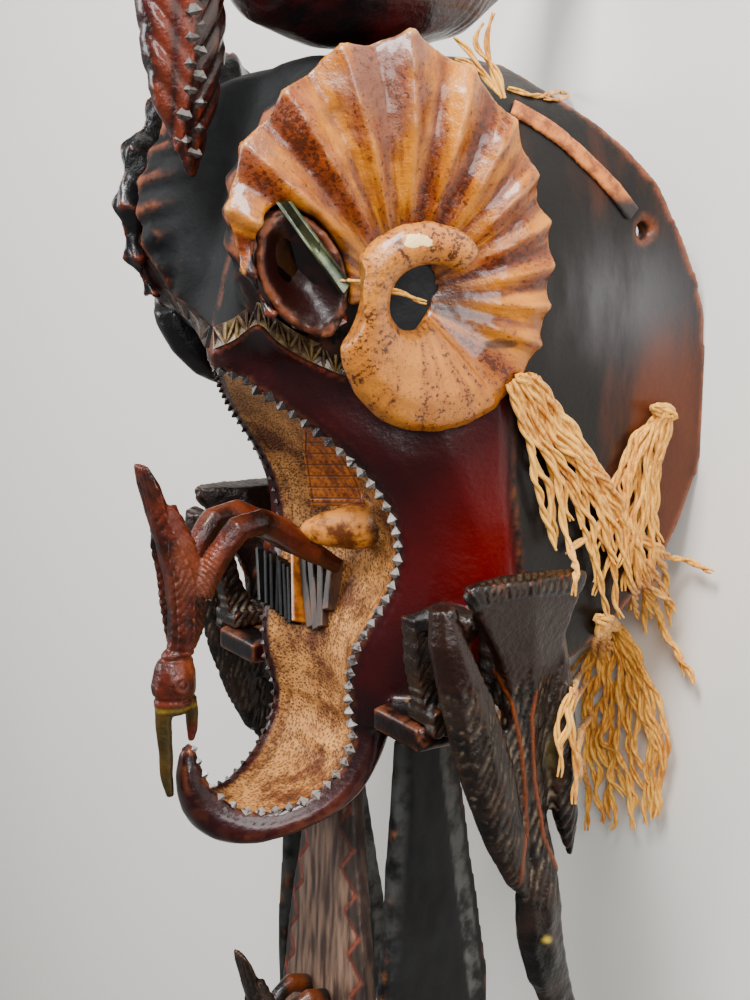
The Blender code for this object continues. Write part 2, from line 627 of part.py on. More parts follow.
def main():
    for old in list(bpy.data.objects):
        bpy.data.objects.remove(old)
    lacquer = material("oxblood_lacquer", (0.16, 0.012, 0.012), 0.28)
    horn_wood = material("varnished_tan", (0.48, 0.22, 0.08), 0.32)
    bird_wood = material("dark_carved_wood", (0.05, 0.03, 0.022), 0.42)
    red_bird = material("red_brown_wood", (0.14, 0.035, 0.02), 0.38)
    grey_wood = material("worn_grey_wood", (0.13, 0.10, 0.08), 0.6)
    black = material("black_wood", (0.02, 0.02, 0.022), 0.4)
    leather = material("tan_leather", (0.32, 0.15, 0.07), 0.6)
    raffia = material("raffia", (0.62, 0.42, 0.19), 0.7)

    head, body = make_head()
    horn = clear_of(make_horn(), body)
    bird = clear_of(make_side_bird(), body)
    blade = make_blade()
    thong = make_thong(head)
    cheek, rim, jaw = make_tassels()
    paint(head, lacquer)
    pairs = ((horn, horn_wood), (bird, bird_wood), (blade, black), (thong, leather), (cheek, raffia),
             (rim, raffia),
             (jaw, raffia))
    for kept, colour in pairs:
        paint(kept, colour)
        other = flipped(kept, kept.name.replace("_left", "_right"))
        if kept in (horn, bird):
            clear_of(other, body)
    paint(clear_of(make_front_bird("hornbill_front"), body), red_bird)
    beard_bird = make_front_bird("hornbill_beard", drop=-297, back=24, reach=0.8, legs=False)
    cut(beard_bird, box("plank_face", (-90, -440, 0), (90, -150, 42 + GAP)))
    paint(beard_bird, bird_wood)
    paint(clear_of(make_crest(), body), lacquer.copy())
    paint(make_plank(), grey_wood)
    bpy.data.objects.remove(body)
    settle()


main()
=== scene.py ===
# %% [markdown]
# # A carved hornbill mask, lying on its back
# The real mask is a dark wooden helmet with a horned beast's face, set about with carved birds. The packed
# CAD model gives each piece its form and place. This lesson gives the pieces their finer carving, their
# raffia and thongs, and their finishes. First the imported model is loaded.

# %% The imported frame
import math
import random

import bmesh
import bpy
import numpy as np
from mathutils import Matrix, Vector
from mathutils.bvhtree import BVHTree
from mathutils.noise import noise


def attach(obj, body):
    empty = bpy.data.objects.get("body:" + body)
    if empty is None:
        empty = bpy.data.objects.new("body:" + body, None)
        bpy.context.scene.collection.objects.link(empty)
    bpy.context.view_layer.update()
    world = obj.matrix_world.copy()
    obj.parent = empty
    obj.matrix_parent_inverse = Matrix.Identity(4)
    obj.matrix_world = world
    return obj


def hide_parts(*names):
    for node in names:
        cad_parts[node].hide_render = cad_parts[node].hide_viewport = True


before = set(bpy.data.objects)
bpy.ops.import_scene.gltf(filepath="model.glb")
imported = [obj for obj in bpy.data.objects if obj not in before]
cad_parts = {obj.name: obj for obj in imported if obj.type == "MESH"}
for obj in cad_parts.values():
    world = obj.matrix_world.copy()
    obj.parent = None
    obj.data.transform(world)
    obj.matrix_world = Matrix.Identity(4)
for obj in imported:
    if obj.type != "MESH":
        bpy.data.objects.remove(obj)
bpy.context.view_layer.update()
stage_set = bpy.context.scene
print(len(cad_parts), "packed nodes")

# %% [markdown]
# The carver's own measures are easiest: l to the mask's left, u up its face and f out of its face, all in
# millimetres from the middle of the face. These two helpers turn them into the scene's metres and back.

# %% The mask's own measures
MIDDLE = np.array((0.0, 16.44, 153.0))


def metres(spots):
    return (np.asarray(spots, float) + MIDDLE) / 1000


def mask_mm(spots):
    return np.asarray(spots, float) * 1000 - MIDDLE


def spot(l, u, f):
    return Vector(metres((l, u, f)))


# %% [markdown]
# The camera looks at the mask's left side, a little from above its crown. Its sideways and upward
# directions are kept, because some patterns are laid out as they are seen from here. The view counts 750
# steps across and 1000 down, and one step covers 0.6 mm at the mask's middle.

# %% The camera
TURN, LIFT, AWAY = math.radians(57), math.radians(12), 0.95
SEEN_MIDDLE = (375, 500)
SEEN_STEP = 0.6
TOWARDS = Vector((math.cos(LIFT) * math.sin(TURN), math.sin(LIFT), math.cos(LIFT) * math.cos(TURN)))
RIGHT = Vector((math.cos(TURN), 0, -math.sin(TURN)))
UPWARD = TOWARDS.cross(RIGHT)
camera = bpy.data.objects.new("camera", bpy.data.cameras.new("camera"))
stage_set.collection.objects.link(camera)
camera.data.lens = 57
camera.data.sensor_width = 36
eye = spot(0, 0, 0) + TOWARDS * AWAY
camera.matrix_world = Matrix((
    (RIGHT.x, UPWARD.x, TOWARDS.x, eye.x), (RIGHT.y, UPWARD.y, TOWARDS.y, eye.y),
    (RIGHT.z, UPWARD.z, TOWARDS.z, eye.z), (0, 0, 0, 1)))
stage_set.camera = camera
EYE_PLACE = AWAY * 1000 * np.array(TOWARDS)


def seen_at(spots):
    """Where points of the near side lie in the view, 750 across and 1000 down."""
    spots = np.asarray(spots, float)
    near = AWAY * 1000 / (AWAY * 1000 - spots @ np.array(TOWARDS)) / SEEN_STEP
    return (SEEN_MIDDLE[0] + near * (spots @ np.array(RIGHT)),
            SEEN_MIDDLE[1] - near * (spots @ np.array(UPWARD)))


def ray_at(x, y):
    """The direction from the camera to what is seen at x, y."""
    ray = (x - SEEN_MIDDLE[0]) * SEEN_STEP * np.array(RIGHT) \
        + (SEEN_MIDDLE[1] - y) * SEEN_STEP * np.array(UPWARD) - EYE_PLACE
    return ray / np.linalg.norm(ray)


print("the brow's middle is seen at", [round(float(side)) for side in seen_at((0, 102, 107))])

# %% [markdown]
# Soft daylight falls from beyond the crown and from the camera's side. One broad lamp gives the long
# highlights on the varnish, a second one fills the face, and the pale surroundings do the rest.

# %% The floor and the lamps
def lamp(name, place, target, size, power):
    made = bpy.data.objects.new(name, bpy.data.lights.new(name, "AREA"))
    made.data.shape = "RECTANGLE"
    made.data.size, made.data.size_y = size
    made.data.energy = power
    aim = (Vector(target) - Vector(place)).to_track_quat("-Z", "Y")
    made.matrix_world = Matrix.LocRotScale(Vector(place), aim, Vector((1, 1, 1)))
    stage_set.collection.objects.link(made)


lamp("crown_lamp", (0.5, 1.4, 1.0), (0, 0.1, 0.15), (0.7, 0.5), 62)
lamp("side_lamp", (1.6, 0.75, 0.95), (0, 0, 0.15), (0.8, 0.8), 30)
lamp("far_lamp", (-1.2, 0.5, 1.5), (0, 0, 0.2), (0.9, 0.9), 26)
stage_set.world = bpy.data.worlds.new("surroundings")
stage_set.world.use_nodes = True
stage_set.world.node_tree.nodes["Background"].inputs["Color"].default_value = (0.96, 0.96, 0.95, 1)
stage_set.world.node_tree.nodes["Background"].inputs["Strength"].default_value = 0.27
print(3, "lamps")

# %% [markdown]
# A finish is written as sums on shader sockets. Wire wraps one socket and overloads the operators, and
# Finish makes any other node in one method: its settings first, then what its sockets get.

# %% Finishes written as sums
class Wire:
    def __init__(self, finish, socket):
        self.finish = finish
        self.socket = socket

    def sum(self, kind, first, second):
        return self.finish.node("Math", {"operation": kind}, {0: first, 1: second})

    def __add__(self, other):
        return self.sum("ADD", self, other)

    def __sub__(self, other):
        return self.sum("SUBTRACT", self, other)

    def __rsub__(self, other):
        return self.sum("SUBTRACT", other, self)

    def __mul__(self, other):
        return self.sum("MULTIPLY", self, other)

    __radd__ = __add__
    __rmul__ = __mul__

    def between(self, low, high):
        """0 below low, 1 above high, and smooth from one to the other."""
        return self.finish.node("MapRange", {"interpolation_type": "SMOOTHSTEP"},
                                {"Value": self, "From Min": low, "From Max": high})


class Finish:
    def __init__(self, name, metal=0.0, coat=0.0, coat_rough=0.1, sheen=0.0, shine=0.5):
        self.material = bpy.data.materials.new(name)
        self.material.use_nodes = True
        self.tree = self.material.node_tree
        self.shader = self.tree.nodes["Principled BSDF"]
        self.shader.inputs["Metallic"].default_value = metal
        self.shader.inputs["Coat Weight"].default_value = coat
        self.shader.inputs["Specular IOR Level"].default_value = shine
        self.shader.inputs["Coat Roughness"].default_value = coat_rough
        self.shader.inputs["Sheen Weight"].default_value = sheen
        self.place = self.node("TexCoord", {}, {}, "Object")

    def feed(self, socket, value):
        if isinstance(value, Wire):
            self.tree.links.new(value.socket, socket)
        else:
            socket.default_value = value

    def node(self, kind, settings, feeds, out=0):
        made = self.tree.nodes.new("ShaderNode" + kind)
        for key, value in settings.items():
            setattr(made, key, value)
        for key, value in feeds.items():
            self.feed(made.inputs[key], value)
        return Wire(self, made.outputs[out])

    def paint(self, name):
        return self.node("Attribute", {"attribute_name": name}, {}, "Fac")

    def cloud(self, scale, detail=4.0, rough=0.55, by=None):
        """Soft noise, drawn out along an axis where by is small."""
        where = self.node("Mapping", {}, {"Vector": self.place, "Scale": by}) if by else self.place
        feeds = {"Vector": where, "Scale": scale, "Detail": detail, "Roughness": rough}
        return self.node("TexNoise", {}, feeds)

    def specks(self, scale):
        return self.node("TexVoronoi", {"feature": "F1"}, {"Vector": self.place, "Scale": scale})

    def mix(self, first, second, share):
        return self.node("Mix", {"data_type": "RGBA"}, {0: share, 6: first, 7: second}, 2)

    def bumped(self, height, depth, strength=1.0):
        return self.node("Bump", {}, {"Height": height, "Distance": depth, "Strength": strength})

    def done(self, colour, rough, normal=None, coat=None):
        self.feed(self.shader.inputs["Base Color"], colour)
        self.feed(self.shader.inputs["Roughness"], rough)
        if normal:
            self.feed(self.shader.inputs["Normal"], normal)
        if coat:
            self.feed(self.shader.inputs["Coat Weight"], coat)
        return self.material


def rgb(red, green, painted_shell_sheen):
    """A colour as a photograph's 0 to 255 gives it, made linear, and deepened as varnish deepens wood."""
    parts = np.array([((part / 255 + 0.055) / 1.055) ** 2.4 for part in (red, green, painted_shell_sheen)])
    middle = parts.mean()
    parts = np.clip(middle + (parts - middle) * 1.22, 0.001, 1) ** 1.14
    return (*(float(part) for part in parts), 1)


paper = Finish("pale_floor")
grey = paper.mix(rgb(236, 234, 229), rgb(231, 229, 224), paper.cloud(2.5))
floor_paint = paper.done(grey, 0.9)
sheet = bpy.data.objects.new("floor", bpy.data.meshes.new("floor"))
plane = bmesh.new()
bmesh.ops.create_grid(plane, x_segments=1, y_segments=1, size=6)
plane.to_mesh(sheet.data)
plane.free()
sheet.data.materials.append(floor_paint)
stage_set.collection.objects.link(sheet)
print("floor", [round(side, 1) for side in sheet.dimensions])

# %% [markdown]
# Each carved piece keeps the CAD solid's form. Its copy is welded and given an even grid of small faces, as
# a sculptor's remesh does, so that grooves and feathers can be cut in by moving its points. Grain is the
# grid's size in mm: fine enough for the narrowest groove of that piece, and no finer, since the helmet
# alone has some 190,000 triangles at 2.5 mm. Rounds says how often the grid's steps are evened out.

# %% A grid to carve
def even_out(shape, verts, rounds):
    for _ in range(rounds):
        bmesh.ops.smooth_vert(shape, verts=verts, factor=0.5, use_axis_x=True, use_axis_y=True,
                              use_axis_z=True)


def carving(node, name, grain, rounds):
    made = bpy.data.objects.new(name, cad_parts[node].data.copy())
    stage_set.collection.objects.link(made)
    shape = bmesh.new()
    shape.from_mesh(made.data)
    bmesh.ops.remove_doubles(shape, verts=shape.verts, dist=2e-6)
    shape.to_mesh(made.data)
    shape.free()
    grid = made.modifiers.new("grid", "REMESH")
    grid.mode = "VOXEL"
    grid.voxel_size = grain / 1000
    graph = bpy.context.evaluated_depsgraph_get()
    made.data = bpy.data.meshes.new_from_object(made.evaluated_get(graph))
    made.modifiers.clear()
    shape = bmesh.new()
    shape.from_mesh(made.data)
    even_out(shape, shape.verts, rounds)
    shape.to_mesh(made.data)
    shape.free()
    made.data.polygons.foreach_set("use_smooth", [True] * len(made.data.polygons))
    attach(made, "root")
    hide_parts(node)
    return made


class Skin:
    """A grid's points and normals as arrays, in the mask's own measures, with the paint laid on them."""

    def __init__(self, piece):
        self.piece = piece
        self.read()
        self.paint = {}

    def read(self):
        mesh = self.piece.data
        flat = np.empty(len(mesh.vertices) * 3, np.float32)
        mesh.vertices.foreach_get("co", flat)
        self.at = mask_mm(flat.reshape(-1, 3))
        mesh.vertex_normals.foreach_get("vector", flat)
        self.out = flat.reshape(-1, 3).astype(float)

    def move(self, depth):
        """Raise each point by depth mm along its normal."""
        places = metres(self.at + self.out * np.asarray(depth)[:, None])
        places[:, 2] = np.maximum(places[:, 2], 0.0)
        self.piece.data.vertices.foreach_set("co", places.astype(np.float32).ravel())
        self.piece.data.update()
        self.read()

    def hollows(self, rounds=2):
        """How far each point lies below its neighbours, mm: above 0 in grooves, below 0 on edges."""
        mesh = self.piece.data
        ends = np.empty(len(mesh.edges) * 2, np.int32)
        mesh.edges.foreach_get("vertices", ends)
        a, b = ends.reshape(-1, 2).T
        count = np.bincount(a, minlength=len(self.at)) + np.bincount(b, minlength=len(self.at))
        field = None
        for step in range(rounds + 1):
            source = self.at if step == 0 else field[:, None]
            mean = np.stack([np.bincount(a, source[b, i], len(self.at))
                             + np.bincount(b, source[a, i], len(self.at))
                             for i in range(source.shape[1])], -1) / np.maximum(count, 1)[:, None]
            field = ((mean - self.at) * self.out).sum(1) if step == 0 else 0.5 * (mean[:, 0] + field)
        return field

    def lay(self, finish):
        """Write the paint as the mesh's attributes and give the piece its finish."""
        for name, values in self.paint.items():
            layer = self.piece.data.attributes.new(name, "FLOAT", "POINT")
            layer.data.foreach_set("value", np.asarray(values, np.float32))
        self.piece.data.materials.clear()
        self.piece.data.materials.append(finish)


def soft_step(value, low, high):
    """0 below low, 1 above high, and smooth from one to the other."""
    share = np.clip((np.asarray(value, float) - low) / (high - low), 0, 1)
    return share * share * (3 - 2 * share)


def to_line(spots, line):
    """The distance of each point to a broken line, and how far along the line that is."""
    line = np.asarray(line, float)
    best = np.full(len(spots), 1e9)
    along = np.zeros(len(spots))
    run = 0.0
    for a, b in zip(line[:-1], line[1:]):
        length = np.linalg.norm(b - a)
        share = np.clip(((spots - a) @ (b - a)) / length ** 2, 0, 1)
        gap = np.linalg.norm(spots - (a + share[:, None] * (b - a)), axis=1)
        along = np.where(gap < best, run + share * length, along)
        best = np.minimum(best, gap)
        run += length
    return best, along


def near_side(spots):
    """Every point as if it lay on the near side."""
    return spots * np.where(spots[:, :1] < 0, (-1, 1, 1), (1, 1, 1))


def cloudy(spots, size, seed=0.0):
    """Smooth random values about -1 to 1, with blobs of this size in mm."""
    return np.array([noise(Vector(place) / size + Vector((seed, seed, seed))) for place in spots])


# %% [markdown]
# ## The helmet and face
# The real helmet is one block of wood. Its mouth is a shallow dish with a row of teeth round it, its face
# is black, its cheeks are lacquered from black to red, and the back is a thin burnished shell. The dish is
# told from the outside by where its surface faces: into the mouth. The line of the teeth is repeated from
# the CAD, because grooves and ridges run beside it.

# %% The line of the teeth
LIP = [(0, 85, 107), (20, 79, 95), (44, 61, 77), (60, 42, 58), (68, 16, 38), (69, -10, 29), (65, -37, 32),
       (56, -65, 46), (52, -80, 50), (50, -96, 51), (47, -116, 46), (46, -134, 48), (43, -150, 57),
       (37, -162, 72), (28, -168, 92), (18, -163, 109), (10, -151, 119), (6, -138, 124), (3, -127, 126)]


def rounded(rows, steps):
    """A smooth line through rows, with this many steps between each two."""
    rows = np.asarray(rows, float)
    ends = np.vstack([2 * rows[0] - rows[1], rows, 2 * rows[-1] - rows[-2]])
    found = []
    for a, b, c, d in zip(ends[:-3], ends[1:-2], ends[2:-1], ends[3:]):
        for t in np.arange(steps) / steps:
            found.append(0.5 * (2 * b + (c - a) * t + (2 * a - 5 * b + 4 * c - d) * t ** 2
                                + (3 * b - a - 3 * c + d) * t ** 3))
    found.append(rows[-1])
    return np.array(found)


LIP_LINE = rounded(LIP, 4)
lip_steps = np.linalg.norm(np.diff(LIP_LINE, axis=0), axis=1)
print("the lip runs", round(float(lip_steps.sum())), "mm on each side")

# %% The helmet's grid
helmet = carving("mask_head", "helmet", grain=2.5, rounds=3)
skin = Skin(helmet)
print("helmet", len(helmet.data.polygons), "faces")


def in_mouth(skin):
    """1 where the surface faces into the mouth between the two lips."""
    centre = np.array([(0, 66, 104), (0, 30, 92), (0, -10, 88), (0, -60, 90), (0, -100, 94), (0, -128, 106),
                       (0, -136, 118)], float)
    towards = np.zeros_like(skin.at)
    best = np.full(len(skin.at), 1e9)
    flat = skin.at * (0, 1, 1)
    for a, b in zip(centre[:-1], centre[1:]):
        share = np.clip(((flat - a) @ (b - a)) / ((b - a) @ (b - a)), 0, 1)
        found = a + share[:, None] * (b - a)
        gap = np.linalg.norm(flat - found, axis=1)
        closer = gap < best
        best = np.where(closer, gap, best)
        towards = np.where(closer[:, None], found - skin.at, towards)
    towards /= np.linalg.norm(towards, axis=1, keepdims=True) + 1e-9
    nearest = np.argmin(((flat[:, None, 1:] - LIP_LINE[None, :, 1:]) ** 2).sum(2), axis=1)
    within = soft_step(LIP_LINE[nearest, 0] + 1.0 - np.abs(skin.at[:, 0]), 0, 2.5)
    front = (skin.at[:, 2] > 0) & (skin.at[:, 1] < 86)
    return soft_step((skin.out * towards).sum(1), 0.05, 0.3) * within * front


# %% [markdown]
# On the near half a smooth orange ridge runs inside the teeth. One groove runs beyond it and another
# outside the teeth. They are cut by moving the grid's points: a ridge or a groove is a smooth bump in the
# distance to a line.

# %% The mouth's relief
def hump(value, middle, half):
    """1 at the middle and 0 beyond half either side, smoothly."""
    share = np.clip(np.abs(np.asarray(value, float) - middle) / half, 0, 1)
    return (1 - share * share) ** 2


mirrored = near_side(skin.at)
dish = in_mouth(skin)
lip_gap, _ = to_line(mirrored, LIP_LINE)
_, view_y = seen_at(skin.at)
near_half = soft_step(skin.at[:, 0], -2, 6)
depth = 1.0 * hump(lip_gap, 8.5, 3.2) * dish * near_half
depth -= 0.9 * hump(lip_gap, 12.6, 1.6) * dish * soft_step(view_y, 405, 430)
depth -= 0.7 * hump(lip_gap, 6.0, 1.6) * (1 - dish)
print("dish points", int((dish > 0.5).sum()))

# %% [markdown]
# Across the face, below the eyes, runs a band of small cut triangles with a red line under it. Its path is
# given as the near half is seen, and the far half mirrors it. The band itself is a piece of its own, made
# later. Here the line is raised and its place kept for the paint. The same step shapes the cheek's
# scallops, the step from the face back to the thin shell, and the chisel's faint marks.

# %% The band's bed, the face and the shell
BAND_SEEN = rounded([(213, 338), (234, 329), (258, 313), (276, 329), (300, 345), (328, 358), (360, 371)], 5)
view_x, view_y = seen_at(mirrored)
outside = (1 - dish) * (mirrored[:, 2] > 20) * (mirrored[:, 1] > 60)
line_y = np.interp(view_x, [*BAND_SEEN[:, 0], 430, 520], [*BAND_SEEN[:, 1], 383, 345])
below = np.abs(view_y - line_y - 14)
depth += 0.8 * hump(below, 0, 4.0) * outside * (view_x < 365)
face = soft_step(line_y + 11 - view_y, -1.5, 1.5) * (mirrored[:, 2] > 20)
step_f = np.interp(mirrored[:, 1], (-130, -60, 20, 100), (-30, -26, -14, -10))
shell = soft_step(step_f - mirrored[:, 2], -3, 3)
depth += 0.8 * (shell - hump(mirrored[:, 2] - step_f, 0, 3.0)) * (mirrored[:, 0] > 60)
from_hollow = skin.at - (0, 90, -60)
hollow = soft_step((skin.out * from_hollow).sum(1) / np.linalg.norm(from_hollow, axis=1), 0.1, -0.15)
hollow *= (mirrored[:, 0] < 107) & (skin.at[:, 2] < 30)
chisel = cloudy(skin.at * (1, 0.6, 1), 16.0)
cheek = face * soft_step(mirrored[:, 0], 26, 50) * soft_step(mirrored[:, 2], 60, 90)
cheek *= soft_step(236 - mirrored[:, 1], 0, 8)
scallop = ((mirrored[:, 1] + 0.35 * (mirrored[:, 0] - 56)) % 17.0) / 17.0
depth += cheek * (3.0 * np.abs(scallop - 0.5) * 2 - 1.8) + 0.8 * chisel * face
face_ridge = hump(mirrored[:, 0], 0, 3.2) * face * (mirrored[:, 2] > 70)
depth += 0.35 * chisel * (1 - dish) * (1 - hollow)
bowl_at = mirrored - (76.5, 143.0, 94.5)
bowl_long = bowl_at @ (0.139, 0.9, -0.417)
bowl_wide = bowl_at @ (-0.285, 0.44, 0.854)
bowl_high = bowl_at @ (0.9487, 0, 0.3162)
bowl = soft_step(1.16 - np.hypot(bowl_long / 37, bowl_wide / 23), 0, 0.06) * (bowl_high > -26)
skin.move(depth * (1 - bowl))
print("relief from", round(float(depth.min()), 1), "to", round(float(depth.max()), 1), "mm")

# %% The helmet's paint
peg_gap, _ = to_line(skin.at, np.array([(30, -6, 10), (24, -8, 32), (10, -10, 60)], float))
peg = soft_step(18 - peg_gap, 0, 4) * (skin.at[:, 2] > 17) * soft_step(380 - seen_at(skin.at)[0], 0, 16)
sunk = skin.hollows(2)
brown = np.exp(-((view_x - 585) / 60) ** 2 - ((view_y - 160) / 55) ** 2) \
    + 0.5 * np.exp(-((view_x - 660) / 45) ** 2 - ((view_y - 440) / 90) ** 2) \
    - np.exp(-((view_y - 290) / 45) ** 2)
glow = np.exp(-((mirrored[:, 1] + 8) / 62) ** 2 - ((mirrored[:, 2] + 8) / 34) ** 2) * (mirrored[:, 0] > 60)
ledge = soft_step(mirrored[:, 0] + 0.6 * mirrored[:, 2], 94.5, 96.5) * soft_step(mirrored[:, 2], 0, 3)
ledge *= soft_step(-97 - mirrored[:, 1], 0, 2) * soft_step(mirrored[:, 1], -117, -114)
skin.paint = {
    "ledge": ledge, "dish": np.maximum(dish * soft_step(lip_gap, 4.5, 6.5), peg),
    "teeth_bed": hump(lip_gap, 0, 7.0), "ridge": 0.6 * hump(lip_gap, 9.0, 3.4) * dish * near_half,
    "face": face * (1 - bowl), "shell": shell, "brown": brown, "raw": hollow, "glow": glow,
    "line": hump(below, 0, 3.2) * outside * (view_x < 365), "bowl": bowl, "peg": peg,
    "painted_light_on_top": soft_step(480 - view_y, 0, 120),
    # painted sheen: where the shell's grey-blue sheen is laid, as it is seen
    "painted_shell_sheen": np.exp(-((view_x - 625) / 70) ** 2 - ((view_y - 300) / 55) ** 2),
    "face_edge": np.maximum(0.5 * face_ridge, cheek * soft_step(mirrored[:, 0], 52, 56)),
    "groove": soft_step(sunk, 0.04, 0.3), "edge": soft_step(-sunk, 0.05, 0.35)}

# %% [markdown]
# Lacquer: near black at the top and front, red where the side catches the light, with a clear coat over it.
# The dish is tan and stippled, and painted light makes it paler towards the top. The face is satin black,
# and the shell burnished brown-black with brown streaks and a painted grey-blue sheen across its middle.
# Each area is one layer of paint, laid over the one before it by its own mask.

# %% The helmet's finish
wood = Finish("lacquered_helmet", coat_rough=0.16, shine=0.24)
smoke = wood.cloud(9.0, 5.0, 0.6)
fine = wood.cloud(160.0, 3.0, 0.6)
lacquer = wood.mix(rgb(32, 9, 12), rgb(62, 12, 18), smoke.between(0.35, 0.7))
lacquer = wood.mix(lacquer, rgb(98, 7, 12), wood.paint("glow") * (smoke * 0.5 + 0.66))
lacquer = wood.mix(lacquer, rgb(14, 9, 10), wood.paint("ledge"))
grain = wood.cloud(14.0, 6.0, 0.62, (1.0, 0.22, 1.0))
bark = wood.mix(rgb(26, 23, 22), rgb(92, 54, 38), (grain + wood.paint("brown") * 0.13).between(0.46, 0.7))
# painted sheen: a pale grey-blue sheen mixed into the shell's dark middle, broken up by its grain
bark = wood.mix(bark, rgb(104, 102, 104), wood.paint("painted_shell_sheen") * grain.between(0.34, 0.56) * 0.75)
bark = wood.mix(bark, rgb(142, 84, 52), (wood.paint("edge") * fine.between(0.35, 0.6)))
colour = wood.mix(lacquer, bark, wood.paint("shell"))
black = wood.mix(rgb(12, 13, 15), rgb(30, 31, 33), wood.cloud(60.0, 5.0, 0.7).between(0.4, 0.75))
colour = wood.mix(colour, black, wood.paint("face"))
rubbed = wood.paint("face_edge") * wood.cloud(80.0, 5.0, 0.7).between(0.42, 0.6) * 0.8
colour = wood.mix(colour, rgb(138, 92, 72), rubbed)
colour = wood.mix(colour, rgb(122, 62, 44), wood.paint("line") * fine.between(0.3, 0.55))
pits = wood.specks(520.0).between(0.2, 0.55)
tan = wood.mix(rgb(98, 60, 38), rgb(188, 142, 98), wood.cloud(34.0, 8.0, 0.74).between(0.4, 0.6))
tan = wood.mix(rgb(58, 34, 22), tan, pits * 0.62 + 0.38)
# painted light: the dish is mixed paler towards the top of the view, where the light falls strongest
tan = wood.mix(tan, rgb(214, 172, 132), wood.paint("painted_light_on_top") * 0.55)
tan = wood.mix(tan, rgb(182, 122, 70), wood.paint("ridge"))
peg_tan = wood.mix(rgb(92, 54, 30), rgb(190, 134, 82), wood.cloud(70.0, 5.0, 0.7).between(0.4, 0.6))
tan = wood.mix(tan, peg_tan, wood.paint("peg"))
tan = wood.mix(tan, rgb(64, 34, 20), wood.paint("groove") * 0.8)
colour = wood.mix(colour, tan, wood.paint("dish"))
colour = wood.mix(colour, rgb(26, 18, 20), wood.paint("teeth_bed") * (1 - wood.paint("dish")) * 0.8)
colour = wood.mix(colour, rgb(34, 12, 10), wood.paint("bowl"))
colour = wood.mix(colour, wood.mix(rgb(70, 48, 34), rgb(120, 86, 58), grain), wood.paint("raw"))
worn = wood.paint("edge") * (1 - wood.paint("dish")) * wood.cloud(90.0).between(0.4, 0.6)
colour = wood.mix(colour, rgb(150, 96, 72), worn * 0.6)
rough = 0.28 + smoke * 0.12 + wood.paint("dish") * 0.16 + wood.paint("face") * 0.36
rough = rough + wood.paint("shell") * 0.06 + wood.paint("raw") * 0.4
stipple = pits * wood.paint("dish") * (1 - wood.paint("peg")) * (1 - wood.paint("ridge"))
height = stipple * 0.7 + wood.cloud(260.0, 4.0, 0.6) * 0.4 + wood.cloud(45.0, 3.0) * 0.35
varnish = (1 - wood.paint("dish")) * (1 - wood.paint("face")) * (1 - wood.paint("shell") * 0.7) * 0.22
skin.lay(wood.done(colour, rough, wood.bumped(height, 0.0014, 0.75), varnish))

# %% [markdown]
# ## The horns
# Each horn is a fan of fourteen flutes that winds down into a thick curl. On the real one the flutes are
# sharper towards the scalloped rim, the skin is pitted and varnished, and the side turned to the face is
# black. The flutes are a wave in the angle round the horn's middle, so the same angle drives both the
# carving and the dark streaks that follow it.

# %% The horns' grids and relief
HORN_MIDDLE = np.array((98.3, 128.3, 41.0))
HORN_BACK = np.array((0.3162, 0.0, -0.9487))
HORN_OUT = np.array((0.9487, 0.0, 0.3162))
FLUTES = 14
horn_skins = []
for side, end in ((1, "left"), (-1, "right")):
    horn = carving("horn_" + end, "fluted_horn_" + end, grain=1.4, rounds=10)
    skin = Skin(horn)
    turned = (side, 1, 1)
    for stage in (0, 1):
        from_middle = skin.at * turned - HORN_MIDDLE
        across, up, high = from_middle @ HORN_BACK, from_middle[:, 1], from_middle @ HORN_OUT
        reach = np.hypot(across, up)
        angle = np.degrees(np.arctan2(up, across)) % 360
        fan_angle = np.where(angle < 190, angle + 360, angle)
        outward = (skin.out * turned) @ HORN_OUT
        on_curl = soft_step(angle, 44, 50) * soft_step(335 - angle, 0, 50)
        on_curl *= np.where(angle < 190, soft_step(high, 10, 16) * (reach < 58), 1)
        fan = (1 - on_curl) * soft_step(fan_angle, 325, 340)
        phase = (fan_angle - 325) / 220 * FLUTES
        crest = np.abs(phase % 1 - 0.5) * 2
        if stage == 0:
            lumps = cloudy(skin.at, 13.0, 3.0)
            small = cloudy(skin.at, 5.0, 7.0)
            grown = soft_step(reach, 30, 85) * fan
            depth = grown * (2.6 * crest ** 2.5 - 1.7 * (1 - crest) ** 1.5)
            depth *= soft_step(np.abs(outward), 0.2, 0.6)
            depth += 1.2 * lumps * grown + 0.3 * small * fan + 0.4 * lumps * on_curl
            skin.move(depth)
    view_x, view_y = seen_at(skin.at * turned)
    chips = np.exp(-((view_x - 418) / 26) ** 2 - ((view_y - 240) / 12) ** 2) \
        + np.exp(-((view_x - 352) / 10) ** 2 - ((view_y - 330) / 16) ** 2) \
        + 0.7 * np.exp(-((view_x - 290) / 12) ** 2 - ((view_y - 85) / 14) ** 2)
    scar = soft_step(1.3 - np.hypot((view_x - 500 + 0.2 * (view_y - 345)) / 17, (view_y - 344) / 4.5), 0, 0.4)
    eye_patch_and_hole_shade = np.exp(-((view_x - 343) / 16) ** 2 - ((view_y - 258) / 22) ** 2) * (1 - on_curl)
    by_eye = soft_step(1.25 - np.hypot((view_x - 263) / 17, (view_y - 292) / 40), 0, 0.2)
    sunk = skin.hollows(3)
    skin.paint = {
        "angle": fan_angle / 360, "reach": reach / 100, "valley": (1 - crest) * fan, "curl": on_curl,
        "inner": np.maximum(soft_step(-outward, *((0.05, 0.4) if side > 0 else (-0.75, -0.4))), by_eye),
        "chip": chips * soft_step(outward, 0, 0.3), "scar": scar * (outward > 0),
        # a dark patch beside the eye's lid, and painted shade deepening into the hole at the horn's middle
        "eye_patch_and_hole_shade": eye_patch_and_hole_shade * (outward > 0) + 0.9 * np.exp(-((reach - 18) / 22) ** 2) * fan * (fan_angle < 480),
        "groove": soft_step(sunk, 0.03, 0.2), "edge": soft_step(-sunk, 0.06, 0.3)}
    horn_skins.append(skin)
    print(horn.name, len(horn.data.polygons), "faces")

